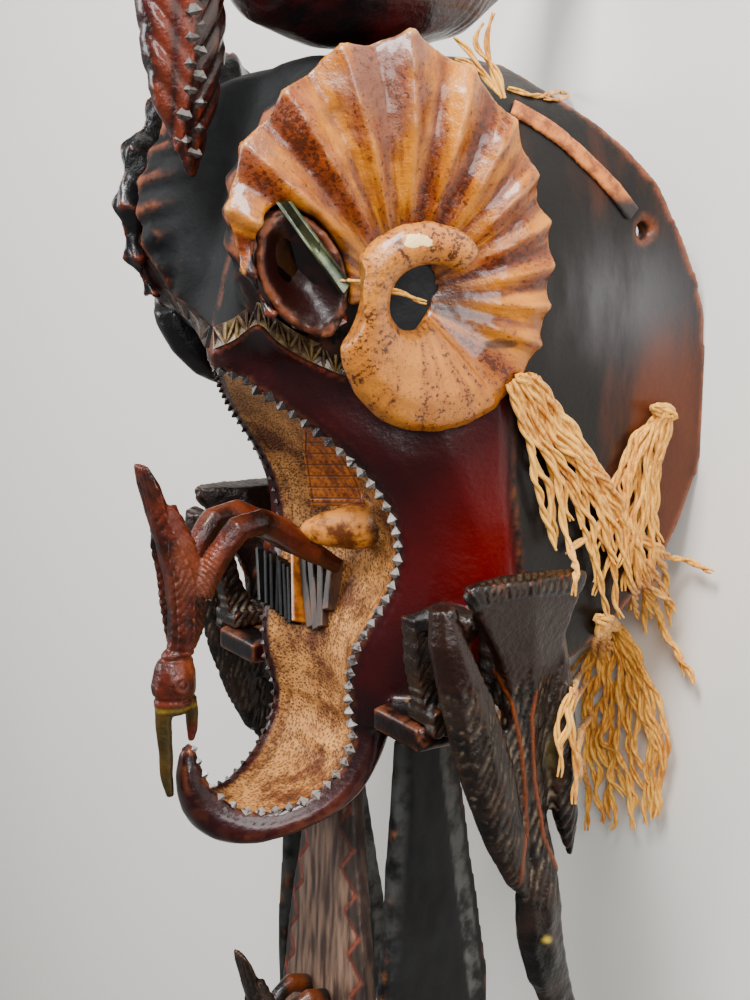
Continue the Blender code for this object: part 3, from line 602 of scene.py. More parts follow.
# %% The horns' finish
hide = Finish("varnished_horn_wood", coat=0.3, coat_rough=0.12, shine=0.36)
round_horn = hide.node("CombineXYZ", {}, {"X": hide.paint("angle") * 30, "Y": hide.paint("reach") * 1.2})
streaks = hide.node("TexNoise", {}, {"Vector": round_horn, "Scale": 1.0, "Detail": 5.0, "Roughness": 0.6})
blotch = hide.cloud(22.0, 5.0, 0.6)
speck = hide.cloud(420.0, 3.0, 0.7)
base = hide.mix(rgb(188, 128, 62), rgb(132, 70, 22), streaks.between(0.38, 0.6))
base = hide.mix(base, rgb(92, 44, 16), hide.paint("valley") * streaks.between(0.34, 0.6) * 0.95)
rim_sheen_share = hide.paint("reach").between(0.5, 0.95) * 0.85
# painted sheen: grey-pink smears mixed in towards the rim
base = hide.mix(base, rgb(116, 78, 64), blotch.between(0.46, 0.66) * rim_sheen_share)
base = hide.mix(base, rgb(190, 134, 82), hide.paint("curl") * 0.6)
fan_specks = (speck * 0.6 + streaks * 0.5 - blotch * 0.08).between(0.545, 0.61)
base = hide.mix(base, rgb(62, 30, 14), fan_specks * 0.85)
curl_specks = (speck * 0.5 + blotch * 0.5).between(0.5, 0.62)
base = hide.mix(base, rgb(58, 32, 20), hide.paint("curl") * curl_specks * 0.6)
base = hide.mix(base, rgb(70, 36, 20), hide.paint("groove") * 0.55)
# painted highlight: the flutes' crests and raised edges are mixed paler
base = hide.mix(base, rgb(216, 168, 116), hide.paint("edge") * 0.45)
# a dark patch beside the eye's lid, and painted shade darkening the fan towards the hole at its middle
base = hide.mix(base, rgb(50, 26, 22), hide.paint("eye_patch_and_hole_shade") * blotch.between(0.2, 0.5))
base = hide.mix(base, rgb(236, 206, 160), (hide.paint("chip") * hide.cloud(130.0, 4.0)).between(0.36, 0.42))
base = hide.mix(base, rgb(66, 44, 36), hide.paint("scar") * 0.85)
worn = hide.paint("edge") * hide.cloud(60.0).between(0.35, 0.6)
worn_black = hide.mix(rgb(16, 16, 18), rgb(104, 54, 38), worn)
base = hide.mix(base, worn_black, hide.paint("inner"))
gloss = 0.2 + blotch * 0.2 + hide.paint("inner") * 0.04
dents = hide.cloud(300.0, 4.0, 0.7) * 0.5 + hide.cloud(90.0, 4.0, 0.6) * 0.8
horn_finish = hide.done(base, gloss, hide.bumped(dents, 0.0016, 0.8))
for skin in horn_skins:
    skin.lay(horn_finish)

# %% [markdown]
# ## The teeth
# A row of small cut points runs round both lips, each like a four-sided pyramid, worn pale on the cheek's
# side. One cone of four sides is made for each tooth. It stands on the helmet where the lip line passes,
# and the helmet's own surface gives its direction.

# %% Surfaces to stand on
def surface(piece):
    shape = bmesh.new()
    shape.from_mesh(piece.data)
    tree = BVHTree.FromBMesh(shape)
    shape.free()
    return tree


def new_piece(name, shape, finish, smooth=False):
    """A finished bmesh as a piece that rides on the mask."""
    made = bpy.data.objects.new(name, bpy.data.meshes.new(name))
    bmesh.ops.recalc_face_normals(shape, faces=shape.faces)
    shape.to_mesh(made.data)
    shape.free()
    if smooth:
        made.data.polygons.foreach_set("use_smooth", [True] * len(made.data.polygons))
    stage_set.collection.objects.link(made)
    made.data.materials.append(finish)
    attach(made, "root")
    return made


def stand(along, out, place):
    """The placing of a small thing: its y along a line, its z outward."""
    out = Vector(out).normalized()
    along = (Vector(along) - out * Vector(along).dot(out)).normalized()
    side = along.cross(out)
    return Matrix(((side.x, along.x, out.x, place[0]), (side.y, along.y, out.y, place[1]),
                   (side.z, along.z, out.z, place[2]), (0, 0, 0, 1)))


helmet_skin = surface(helmet)


FLOOR_HIGH = -149.5


def behind(x, y, trees):
    """How far from the camera the first thing seen at x, y lies, mm."""
    ray = ray_at(x, y)
    far = (FLOOR_HIGH - EYE_PLACE[2]) / ray[2]
    start = Vector(metres(EYE_PLACE))
    for tree in trees:
        hit = tree.ray_cast(start, Vector(ray))
        if hit[0]:
            far = min(far, hit[3] * 1000)
    return far

# %% The teeth's shape
teeth = bmesh.new()
bare = teeth.verts.layers.float.new("bare")
fine_lip = rounded(LIP, 24)
run = np.concatenate([[0], np.cumsum(np.linalg.norm(np.diff(fine_lip, axis=0), axis=1))])
TOOTH_PITCH = 8.2
random.seed(4)
for side in (1, -1):
    for mark in np.arange(5.0, run[-1] - 3, TOOTH_PITCH):
        on = np.array([np.interp(mark, run, fine_lip[:, k]) for k in range(3)])
        ahead = np.array([np.interp(mark + 2, run, fine_lip[:, k]) for k in range(3)]) - on
        found, out, _, _ = helmet_skin.find_nearest(Vector(metres(on * (side, 1, 1))))
        size = np.interp(mark, (0, 60, 120, run[-1] - 60, run[-1]), (3.9, 4.3, 4.3, 3.9, 2.5))
        size *= random.uniform(0.9, 1.1)
        size *= 1.0 if side > 0 else 0.55
        place = found + out * (0.5 * size / 1000)
        matrix = stand(Vector(ahead * (side, 1, 1)), out + Vector((side * 0.25, 0, 0.1)), place)
        made = bmesh.ops.create_cone(teeth, segments=4, radius1=size / 1000, radius2=0.0006,
                                     depth=size / 1000, cap_ends=True,
                                     matrix=matrix @ Matrix.Diagonal((0.95, 0.95, 0.9, 1)))
        pale = soft_step(mark, 70, 100) * random.uniform(0.55, 1.0) * (1.0 if side > 0 else 0.3)
        for vert in made["verts"]:
            vert[bare] = pale
tooth = Finish("cut_tooth_points", coat=0.2)
bare_wood = tooth.paint("bare") * tooth.cloud(260.0, 3.0).between(0.34, 0.55)
chalk = tooth.mix(rgb(30, 22, 22), rgb(158, 150, 144), bare_wood)
teeth_finish = tooth.done(chalk, 0.34, tooth.bumped(tooth.cloud(420.0), 0.0008, 0.4))
teeth_piece = new_piece("mouth_teeth", teeth, teeth_finish)
print("teeth", len(teeth_piece.data.polygons) // 5)

# %% [markdown]
# ## The band of triangles
# It starts as a flat grid one cell deep. Each cell is cut corner to corner, alternately, and every triangle
# is inset and sunk, as a chip-carver would. Then the flat strip is wrapped on the helmet: its length
# follows the band's path and its height goes down the surface. The path is given as it is seen, and each
# point's depth is found behind it on the helmet.

# %% The band
band_depth = []
for x, y in BAND_SEEN:
    near, far = behind(x, y + 4, (helmet_skin,)), behind(x, y + 13, (helmet_skin,))
    band_depth.append((near, (far - near) / 9))
band_depth = np.array(band_depth)
for _ in range(3):
    band_depth[1:-1] = 0.25 * band_depth[:-2] + 0.5 * band_depth[1:-1] + 0.25 * band_depth[2:]


def band_strip(side, count=13, high=11.0):
    strip = bmesh.new()
    pit = strip.verts.layers.float.new("pit")
    bmesh.ops.create_grid(strip, x_segments=count, y_segments=1, size=0.5)
    quads = sorted(strip.faces, key=lambda face: face.calc_center_median().x)
    for step, quad in enumerate(quads):
        corners = sorted(quad.verts, key=lambda vert: (round(vert.co.x, 4), vert.co.y))
        ends = (corners[0], corners[3]) if step % 2 else (corners[1], corners[2])
        bmesh.ops.connect_verts(strip, verts=list(ends))
    bmesh.ops.inset_individual(strip, faces=list(strip.faces), thickness=0.013, depth=0.0,
                               use_even_offset=False)
    chips = [face for face in strip.faces if len(face.verts) == 3]
    bmesh.ops.poke(strip, faces=chips)
    for vert in strip.verts:
        vert[pit] = 1.0 if len(vert.link_faces) == 3 else 0.0
    bmesh.ops.subdivide_edges(strip, edges=strip.edges, cuts=1, use_grid_fill=True)
    marks = np.concatenate([[0], np.cumsum(np.linalg.norm(np.diff(BAND_SEEN, axis=0), axis=1))])
    for vert in strip.verts:
        mark = (vert.co.x + 0.5) * marks[-1]
        x, y = (np.interp(mark, marks, BAND_SEEN[:, k]) for k in range(2))
        near, lean = (np.interp(mark, marks, band_depth[:, k]) for k in range(2))
        drop = -vert.co.y * 2 * high
        far = near + lean * (drop - 4) - 3.0 + 3.2 * vert[pit]
        vert.co = Vector(metres((EYE_PLACE + ray_at(x, y + drop) * far) * (side, 1, 1)))
    rim = bmesh.ops.extrude_edge_only(strip, edges=[edge for edge in strip.edges if edge.is_boundary])
    inward = -Vector(TOWARDS) * 0.006
    inward.x *= side
    for vert in [part for part in rim["geom"] if isinstance(part, bmesh.types.BMVert)]:
        vert.co += inward
    return strip


olive = Finish("chip_carved_band", coat=0.2)
stain = olive.cloud(70.0, 5.0, 0.65)
moss = olive.mix(rgb(66, 44, 30), rgb(136, 116, 82), stain.between(0.38, 0.62))
moss = olive.mix(moss, rgb(206, 196, 160), olive.cloud(190.0).between(0.62, 0.7) * 0.5)
moss = olive.mix(moss, rgb(30, 20, 14), olive.paint("pit").between(0.1, 0.9) * 0.9)
band_finish = olive.done(moss, 0.42, olive.bumped(olive.cloud(300.0), 0.001, 0.5))
# The far band gets a darker copy of the band's finish.
far_olive = Finish("dark_far_band", coat=0.05, shine=0.3)
shade = far_olive.cloud(70.0, 5.0, 0.65).between(0.4, 0.7)
far_band_tone = far_olive.mix(rgb(22, 19, 17), rgb(62, 46, 34), shade)
far_band = far_olive.done(far_band_tone, 0.5, far_olive.bumped(far_olive.cloud(300.0), 0.001, 0.5))
for side, end, finish in ((1, "left", band_finish), (-1, "right", far_band)):
    made = new_piece("cut_band_" + end, band_strip(side), finish)
    print(made.name, len(made.data.polygons), "faces")

# %% [markdown]
# ## The ruled panel
# A leaf-shaped panel lies in the dish beside the peg, ruled with lines and rows of dots. It is a fine grid
# with the leaf's outline, laid on the dish where it is seen, with the rules and dots pressed into it.

# %% The panel
leaf_y = (420, 441, 459, 482, 506)
leaf = bmesh.new()
rule_marks = leaf.verts.layers.float.new("rule_marks")
bmesh.ops.create_grid(leaf, x_segments=64, y_segments=110, size=0.5)
for vert in leaf.verts:
    y = 420 + (0.5 - vert.co.y) * 86
    low = np.interp(y, (420, 449, 474, 506), (304, 303, 306, 311))
    high = np.interp(y, leaf_y, (305, 326, 346, 359, 366))
    x = low + (vert.co.x + 0.5) * (high - low)
    inner = min(x - low, high - x, y - 420, 506 - y)
    rule = float(hump((y - 448) % 11.2, 5.6, 1.5))
    dots = float(hump((y - 442.4) % 5.6, 2.8, 1.7) * hump((x + 3 * math.floor(y / 5.6)) % 6.0, 3.0, 2.2))
    raised = 1.5 * min(1, inner / 2.0) - 1.0 * rule - 0.7 * dots * (1 - rule) * (inner > 2)
    raised -= 0.9 * float(hump(inner, 3, 1.2))
    vert[rule_marks] = max(rule, 0.8 * dots, float(hump(inner, 3, 1.4)))
    vert.co = Vector(metres(EYE_PLACE + ray_at(x, y) * (behind(x, y, (helmet_skin,)) - raised)))
panel_wood = Finish("ruled_panel")
ruled = panel_wood.cloud(120.0, 5.0, 0.65)
rule_tan = panel_wood.mix(rgb(128, 70, 34), rgb(192, 122, 66), ruled.between(0.36, 0.6))
# the pressed rules, dots and border groove are painted dark
rule_tan = panel_wood.mix(rule_tan, rgb(58, 30, 18), panel_wood.paint("rule_marks") * 0.85)
panel_finish = panel_wood.done(rule_tan, 0.45, panel_wood.bumped(ruled, 0.0008, 0.5))
leaf_panel = new_piece("ruled_panel", leaf, panel_finish, smooth=True)
print("panel", len(leaf_panel.data.polygons), "faces")

# %% [markdown]
# ## The eyes
# Each eye is a deep bowl cut in flat facets that meet at one low point, under a green-grey lid. The facets
# are a fan of triangles: a circle with a middle point, its rim moved to the bowl's corners. The lid is a
# bevelled bar lying on the bowl's edge. Their corners are placed where they are seen on the eye's plane.

# %% The eyes' facets and lids
EYE_MIDDLE = np.array((76.5, 143.0, 94.5))


def on_plane(x, y, high, middle=EYE_MIDDLE):
    """The point seen at x, y that lies high mm above the horn-wise plane through middle."""
    ray = ray_at(x, y)
    return EYE_PLACE + ray * (((middle + HORN_OUT * high - EYE_PLACE) @ HORN_OUT) / (ray @ HORN_OUT))


EYE_CORNERS = [(282, 212), (318, 248), (343, 290), (347, 322), (322, 336), (293, 328), (268, 292), (261, 250)]
eye_glaze = Finish("dark_eye_facets", coat=0.35, coat_rough=0.08, shine=0.3)
depths = eye_glaze.cloud(45.0, 4.0)
pupil = eye_glaze.mix(rgb(14, 8, 8), rgb(58, 24, 16), depths.between(0.4, 0.7))
pupil = eye_glaze.mix(pupil, rgb(126, 58, 30), eye_glaze.paint("warm") * depths.between(0.3, 0.5))
# painted highlight: a pale glint along the facet edge from the low point to one corner
pupil = eye_glaze.mix(pupil, rgb(150, 120, 96), eye_glaze.paint("facet_glint") * 0.4)
eye_finish = eye_glaze.done(pupil, 0.2, eye_glaze.bumped(eye_glaze.cloud(200.0), 0.0008, 0.35))
lid_paint = Finish("green_lid", coat=0.25)
lid_green = lid_paint.mix(rgb(70, 80, 64), rgb(116, 122, 96), lid_paint.cloud(60.0).between(0.35, 0.65))
lid_green = lid_paint.mix(lid_green, rgb(44, 42, 34), lid_paint.cloud(210.0, 4.0).between(0.6, 0.68))
lid_finish = lid_paint.done(lid_green, 0.4, lid_paint.bumped(lid_paint.cloud(160.0), 0.001, 0.5))
for side, end in ((1, "left"), (-1, "right")):
    bowl = bmesh.new()
    warm = bowl.verts.layers.float.new("warm")
    facet_glint = bowl.verts.layers.float.new("facet_glint")
    fan = bmesh.ops.create_circle(bowl, cap_ends=True, cap_tris=True, segments=8, radius=1.0)["verts"]
    low = min(fan, key=lambda vert: vert.co.length)
    ring = sorted((vert for vert in fan if vert is not low),
                  key=lambda vert: math.atan2(vert.co.y, vert.co.x))
    for step, (vert, seen) in enumerate(zip(ring, EYE_CORNERS)):
        vert.co = metres(on_plane(*seen, 3.0) * (side, 1, 1))
        vert[warm] = 1.0 if step in (3, 4) else 0.0
        vert[facet_glint] = 1.0 if step == 5 else 0.0
    low.co = metres(on_plane(303, 287, -7.5) * (side, 1, 1))
    low[facet_glint] = 1.0
    bmesh.ops.subdivide_edges(bowl, edges=bowl.edges, cuts=9, use_grid_fill=True)
    for vert in bowl.verts:
        vert[facet_glint] = 1.0 if vert[facet_glint] > 0.93 else 0.0
    eye = new_piece("eye_facets_" + end, bowl, eye_finish)
    lid = bmesh.new()
    bmesh.ops.create_cube(lid, size=1.0)
    top = [(281, 205), (290, 204), (348, 283), (342, 291)]
    corners = {(-1, -1): 0, (1, -1): 1, (1, 1): 2, (-1, 1): 3}
    for vert in lid.verts:
        seen = top[corners[(1 if vert.co.x > 0 else -1, 1 if vert.co.y > 0 else -1)]]
        vert.co = metres(on_plane(*seen, 11.5 if vert.co.z > 0 else -2.0) * (side, 1, 1))
    bmesh.ops.bevel(lid, geom=lid.edges, offset=0.0014, segments=2, profile=0.5, affect="EDGES", material=-1)
    new_piece("eye_lid_" + end, lid, lid_finish, smooth=True)
    print(eye.name, len(eye.data.polygons), "faces")

# %% [markdown]
# ## The birds
# Every hornbill is cut from one piece of wood, its feathers left as ridges. Three patterns do the work:
# chevrons on the small wings, long wavy ribs on the big ones, and crimps along a tail's edge. The grooves
# get a tone of their own, pale dust on the dark birds and a dark tone on the red ones, and the edges are
# worn warm, so the finish reads the hollows from the carved grid.
# A finish reads its areas by name, and an area that a bird doesn't paint counts as 0.

# %% The feather patterns and the birds' finish
def chevrons(down, across, pitch, slant=0.9):
    return hump((down + slant * np.abs(across)) % pitch, 0.5 * pitch, 0.34 * pitch)


def ribs(across, pitch, wobble):
    return hump((across + wobble) % pitch, 0.5 * pitch, 0.4 * pitch)


def bird_finish(name, dark, brown, groove_tone, warm, coat=0.14):
    feather = Finish(name, coat=coat, coat_rough=0.12, shine=0.28)
    cloud = feather.cloud(40.0, 5.0, 0.6)
    tone = feather.mix(dark, brown, cloud.between(0.36, 0.66))
    tone = feather.mix(tone, rgb(38, 19, 12), feather.paint("tail") * 0.8)
    tone = feather.mix(tone, warm, feather.paint("warm"))
    groove_patches = feather.cloud(90.0, 4.0).between(0.35, 0.6) * 0.8
    # the grooves' own tone: pale dust on the dark birds, a dark tone on the red ones
    tone = feather.mix(tone, groove_tone, feather.paint("groove") * groove_patches)
    tone = feather.mix(tone, warm, feather.paint("edge") * feather.cloud(70.0).between(0.4, 0.6) * 0.6)
    tone = feather.mix(tone, feather.mix(rgb(38, 34, 20), rgb(84, 72, 34), cloud), feather.paint("green"))
    tone = feather.mix(tone, rgb(190, 168, 90), feather.paint("gold"))
    bumps = feather.cloud(240.0, 4.0, 0.65) * 0.6 + feather.cloud(60.0, 3.0) * 0.5
    rough = 0.24 + feather.paint("groove") * 0.3 + cloud * 0.14
    return feather.done(tone, rough, feather.bumped(bumps, 0.0018, 0.8))


dark_bird = bird_finish("dusty_dark_feathers", rgb(16, 13, 11), rgb(44, 33, 27), rgb(134, 120, 104),
                        rgb(136, 76, 46))
red_bird = bird_finish("red_brown_feathers", rgb(30, 15, 12), rgb(90, 43, 32), rgb(26, 16, 14),
                       rgb(140, 82, 60))
red_lacquer = bird_finish("dark_red_crest", rgb(20, 9, 10), rgb(66, 22, 22), rgb(46, 36, 34),
                          rgb(128, 66, 48), coat=0.5)

# %% The front and beard birds
def carve_front(node, name, drop, back, reach, finish):
    skin = Skin(carving(node, name, grain=1.0, rounds=4))
    own = (skin.at + (0, 0, back) - (0, drop, 0)) / reach
    l, u, f = own.T
    on_back = soft_step(f, 112, 120) * soft_step(-u, -14, -8) * soft_step(u, -66, -60)
    tail = soft_step(u, 8, 14)
    middle = np.interp(u, (-60, -26, 10), (129, 130, 143))
    depth = -0.7 * chevrons(u, f - middle, 5.6, 1.6) * on_back * soft_step(np.abs(l), 4, 7)
    depth += 0.7 * hump(f - middle, 0, 1.8) * on_back + 0.7 * hump(f - middle, 7.5, 1.8) * on_back
    depth -= 0.8 * hump((f * 0.5 + l) % 4.2, 2.1, 1.5) * tail
    depth -= 1.1 * (hump(u, -75, 2.0) + hump(u, -98, 2.2) + 0.7 * hump(u, -70, 1.6)) * (f > 112)
    eye_gap = np.hypot(u + 88, f - 136)
    depth += (1.0 * hump(eye_gap, 4.2, 1.8) + 0.9 * hump(eye_gap, 0, 3.0)) * (np.abs(l) > 6)
    legs = soft_step(118 - f, 0, 6) * (u > -60)
    depth += 0.4 * cloudy(skin.at, 9.0) * (1 - tail)
    depth -= 0.5 * ribs(l, 3.4, 0) * legs * soft_step(-18 - u, 0, 6)
    skin.move(depth)
    sunk = skin.hollows(2)
    beak = soft_step(-100 - u, 0, 3)
    skin.paint = {"groove": soft_step(sunk, 0.04, 0.25), "edge": soft_step(-sunk, 0.05, 0.3),
                  "warm": 0.4 * soft_step(cloudy(skin.at, 22.0, 2.0), 0.1, 0.6) * (1 - beak),
                  "green": 0.75 * beak * soft_step(cloudy(skin.at, 15.0, 5.0), -0.5, 0.3),
                  "gold": 0.25 * hump(u, -104, 2.0) * beak}
    skin.lay(finish)
    return skin.piece


front_bird = carve_front("hornbill_front", "front_hornbill", 0.0, 0.0, 1.0, red_bird)
beard_bird = carve_front("hornbill_beard", "beard_hornbill", -297.0, 24.0, 0.8, dark_bird)
print("front birds", len(front_bird.data.polygons), len(beard_bird.data.polygons), "faces")

# %% [markdown]
# The birds beside the jaws are seen from the side. A bright orange line edges each wing, the tail's rim is
# crimped and grey, and the foot is a comb of toes. These lines are laid out as seen, and mirrored.

# %% The side birds
FRONT_EDGE = np.array([(494, 670), (512, 703), (521, 745), (525, 787), (527, 830), (521, 882)], float)
REAR_EDGE = np.array([(537, 691), (532, 716), (535, 778), (544, 837), (558, 870)], float)
FAN_EDGE = np.array([(462, 606), (478, 594), (520, 584), (574, 580)], float)
for side, end in ((1, "left"), (-1, "right")):
    skin = Skin(carving("hornbill_" + end, "side_hornbill_" + end, grain=1.4, rounds=3))
    turned = skin.at * (side, 1, 1)
    facing = soft_step((skin.out * (side, 1, 1)) @ np.array(TOWARDS), -0.1, 0.2)
    l, u, f = turned.T
    seen = np.stack(seen_at(turned), -1)
    front_gap, _ = to_line(seen, FRONT_EDGE)
    rear_gap, _ = to_line(seen, REAR_EDGE)
    fan_gap, fan_run = to_line(seen, FAN_EDGE)
    lines = np.maximum(hump(front_gap, 0, 2.8), hump(rear_gap, 0, 2.8)) * facing
    tail = soft_step(u, -76, -66) * (l > 126) * (fan_gap > 15)
    wings = soft_step(-58 - u, 0, 12) * soft_step(u, -205, -195) * (l > 130)
    wobble = 3.4 * cloudy(turned * (1, 0.28, 1), 10.0)
    ribbed = ribs(f + 0.3 * u + l * 0.6, 4.0, wobble)
    ribbed *= soft_step(cloudy(turned * (1, 0.2, 1), 4.0, 8.0), -0.45, 0.1)
    comb = soft_step(128 - l, 0, 4) * soft_step(-72 - u, 0, 6)
    crimp = soft_step(13 - fan_gap, 0, 3) * facing
    depth = -1.1 * ribbed * wings * (1 - lines) + 0.8 * lines
    depth += crimp * (0.9 - 1.2 * hump(fan_run % 7.5, 3.7, 2.8)) - 0.8 * hump(fan_gap, 16, 3.0) * facing
    depth -= 1.1 * hump((f + 0.8 * u) % 6.0, 3.0, 2.2) * comb
    depth -= 0.6 * hump((u * 0.8 + f) % 7.0, 3.5, 2.4) * soft_step(128 - l, 0, 4) * (1 - comb)
    neck = soft_step(-198 - u, 0, 8)
    depth += 0.9 * cloudy(turned, 9.0, 6.0) * neck + 0.35 * cloudy(turned, 11.0) * (1 - tail)
    eye_gap = np.hypot(seen[:, 0] - 547, (seen[:, 1] - 940) * 1.3)
    depth += 1.2 * hump(eye_gap, 0, 9.0) * facing * neck
    skin.move(depth)
    sunk = skin.hollows(2)
    moss_spot = np.exp(-((seen[:, 0] - 550) / 5) ** 2 - ((seen[:, 1] - 755) / 22) ** 2)
    skin.paint = {"groove": soft_step(sunk, 0.04, 0.25) * (1 - tail),
                  "edge": 0.5 * soft_step(-sunk, 0.08, 0.3), "warm": 0.6 * lines, "tail": tail,
                  "green": 0.8 * moss_spot * facing, "gold": hump(eye_gap, 0, 7.0) * facing * neck}
    skin.lay(dark_bird)
    print(skin.piece.name, len(skin.piece.data.polygons), "faces")

# %% [markdown]
# The crest bird is smooth lacquer below, and its beak gapes over the forehead: a leaf-shaped rim on each
# side and a row of cut points in the gape.

# %% The crest bird
GAPE_F = 119.5
crest = carving("hornbill_crest", "crest_hornbill", grain=1.8, rounds=4)
shape = bmesh.new()
shape.from_mesh(crest.data)
body = [vert for vert in shape.verts if 0.080 < vert.co.z < 0.243 and vert.co.y < 0.366]
even_out(shape, body, 30)
shape.to_mesh(crest.data)
shape.free()
skin = Skin(crest)
l, u, f = near_side(skin.at).T
on_beak = soft_step(322 - u, 0, 10) * soft_step(f, 92, 98)
gape = hump(f, GAPE_F, 3.4) * on_beak * soft_step(u, 196, 206)
leaf = np.abs(f - GAPE_F - 11) / np.interp(u, (190, 210, 260, 300, 330), (0.5, 5, 10, 12, 13))
depth = -1.6 * gape + on_beak * (0.9 * hump(leaf, 1.0, 0.35) - 0.9 * hump(leaf, 0.0, 0.6))
from_gape = np.abs(f - GAPE_F)
depth -= on_beak * 1.5 * hump((u - from_gape * 1.5) % 17.0, 8.5, 5.5) * soft_step(from_gape, 2, 4)
depth -= 0.8 * chevrons(f, l, 9.0, 0.8) * soft_step(-30 - f, 0, 20)
depth += 0.4 * cloudy(skin.at, 15.0)
skin.move(depth)
sunk = skin.hollows(2)
skin.paint = {"tail": on_beak * soft_step(124 - f, -3, 3) * 0.9, "warm": 0.5 * on_beak * hump(leaf, 0.6, 0.7),
              "groove": soft_step(sunk, 0.05, 0.3) * on_beak,
              "edge": soft_step(-sunk, 0.05, 0.3) * (0.4 + on_beak)}
skin.lay(red_lacquer)
points = bmesh.new()
gape_bare = points.verts.layers.float.new("bare")
crest_skin = surface(skin.piece)
for side in (1, -1):
    for mark in np.arange(206.0, 316.0, 13.0):
        for half in (-1, 1):
            aim = Vector(metres((60 * side, mark + 3.2 * half, GAPE_F + 3.8 * half)))
            found, out, _, _ = crest_skin.ray_cast(aim, Vector((-side, 0, 0)))
            if found:
                matrix = stand(Vector((0, 1, 0)), out, found)
                made = bmesh.ops.create_cone(points, segments=4, radius1=0.0058, radius2=0.0004, depth=0.0062,
                                             cap_ends=True, matrix=matrix)
                for vert in made["verts"]:
                    vert[gape_bare] = 0.3
gape_points = new_piece("beak_points", points, teeth_finish)
print("crest bird", len(skin.piece.data.polygons), "faces, beak points", len(gape_points.data.polygons) // 5)

# %% [markdown]
# ## The beard plank and the blades
# The plank is grey weathered wood with dark points cut along both edges, each with a worn red border. The
# two blades beside it are plain black wood, faceted by the knife. The plank's half width at each height is
# repeated from the CAD, so the points follow its outline.

# %% The plank
POINT_PITCH = 26
skin = Skin(carving("beard_plank", "beard_plank_carved", grain=1.5, rounds=2))
l, u, f = skin.at.T
half = np.interp(-u, (168, 206, 265, 320, 380, 401, 412), (25, 30, 42, 50, 54, 50, 34))
inward = half - np.abs(l)
reach = 3.0 + 11.0 * np.abs(((-u - 168) / POINT_PITCH) % 1 - 0.5) * 2
front = soft_step(skin.out[:, 2], 0.2, 0.6)
cut_points = soft_step(reach - inward, -0.6, 0.6) * front
border = hump(inward - reach, 0, 1.8) * front
streak = cloudy(skin.at * (1, 0.14, 1), 3.4)
skin.move(0.5 * cut_points - 0.9 * border + 0.35 * streak * front * (1 - cut_points))
sunk = skin.hollows(2)
skin.paint = {"points": cut_points, "border": hump(inward - reach, -0.8, 3.4) * front, "side": 1 - front,
              "groove": soft_step(sunk, 0.03, 0.2), "streak": 0.5 + 0.5 * streak}
board = Finish("weathered_grey_plank", coat=0.05)
fibre = board.cloud(150.0, 6.0, 0.7, (1.0, 0.12, 1.0))
streaked = (fibre * 0.6 + board.paint("streak") * 0.4).between(0.36, 0.64)
grey = board.mix(rgb(62, 48, 42), rgb(134, 112, 98), streaked)
grey = board.mix(grey, rgb(34, 26, 24), board.paint("points") * 0.85)
grey = board.mix(grey, rgb(124, 68, 52), board.paint("border") * fibre.between(0.3, 0.55))
grey = board.mix(grey, rgb(44, 34, 31), board.paint("side") * 0.7)
grey = board.mix(grey, rgb(40, 30, 27), board.paint("groove") * 0.6)
skin.lay(board.done(grey, 0.52, board.bumped(fibre, 0.0016, 0.7)))
print("plank", len(skin.piece.data.polygons), "faces")

# %% The blades
charcoal = Finish("black_blade", coat=0.05, coat_rough=0.2, shine=0.22)
burn = charcoal.cloud(26.0, 5.0, 0.6)
coal = charcoal.mix(rgb(9, 9, 10), rgb(28, 28, 30), burn.between(0.4, 0.75))
# a paler grey along the front bevel and down a strip on each blade's side
paler_bevel_tone = charcoal.paint("bevel") * charcoal.cloud(70.0, 5.0).between(0.36, 0.62) * 0.7
coal = charcoal.mix(coal, rgb(104, 104, 102), paler_bevel_tone)
chafed = charcoal.paint("edge") * charcoal.cloud(50.0).between(0.55, 0.7) * 0.6
coal = charcoal.mix(coal, rgb(120, 84, 60), chafed)
coal_finish = charcoal.done(coal, 0.42 + burn * 0.2, charcoal.bumped(charcoal.cloud(120.0, 4.0), 0.001, 0.5))
for end in ("left", "right"):
    skin = Skin(carving("blade_" + end, "black_blade_" + end, grain=2.0, rounds=2))
    facets = cloudy(skin.at * (1, 0.5, 1), 11.0)
    skin.move(0.55 * facets)
    sunk = skin.hollows(3)
    front_f = np.interp(-skin.at[:, 1], (129, 160, 220, 290, 340, 375, 404), (24, 27, 31, 36, 36, 30, 12))
    view_x, view_y = seen_at(near_side(skin.at))
    strip = soft_step(8 - np.abs(view_x - np.interp(view_y, (720, 1000), (443, 477))), 0, 2)
    skin.paint = {"bevel": np.maximum(0.4 * hump(skin.at[:, 2] - front_f, -3, 9.0), strip),
                  "edge": soft_step(-sunk, 0.04, 0.2)}
    skin.lay(coal_finish)
    print(skin.piece.name, len(skin.piece.data.polygons), "faces")

# %% [markdown]
# ## The thongs
# Each is a flat strip of hide from under the horn to a hole in the shell. Its grid gets soft dents, and
# its finish is darker where it goes into the hole.

# %% The thongs
strap = Finish("worn_hide_thong", sheen=0.1)
nap = strap.cloud(150.0, 5.0, 0.65)
hide_tan = strap.mix(rgb(128, 74, 40), rgb(196, 130, 80), nap.between(0.35, 0.65))
hide_tan = strap.mix(hide_tan, rgb(38, 28, 26), strap.paint("dark"))
strap_finish = strap.done(hide_tan, 0.6, strap.bumped(nap, 0.0009, 0.6))
for side, end in ((1, "left"), (-1, "right")):
    skin = Skin(carving("thong_" + end, "hide_thong_" + end, grain=0.9, rounds=2))
    skin.move(0.35 * cloudy(skin.at, 7.0) + 0.15 * cloudy(skin.at, 2.5) + 0.25)
    skin.paint = {"dark": soft_step(184 - skin.at[:, 1], 0, 10)}
    skin.lay(strap_finish)
    print(skin.piece.name, len(skin.piece.data.polygons), "faces")

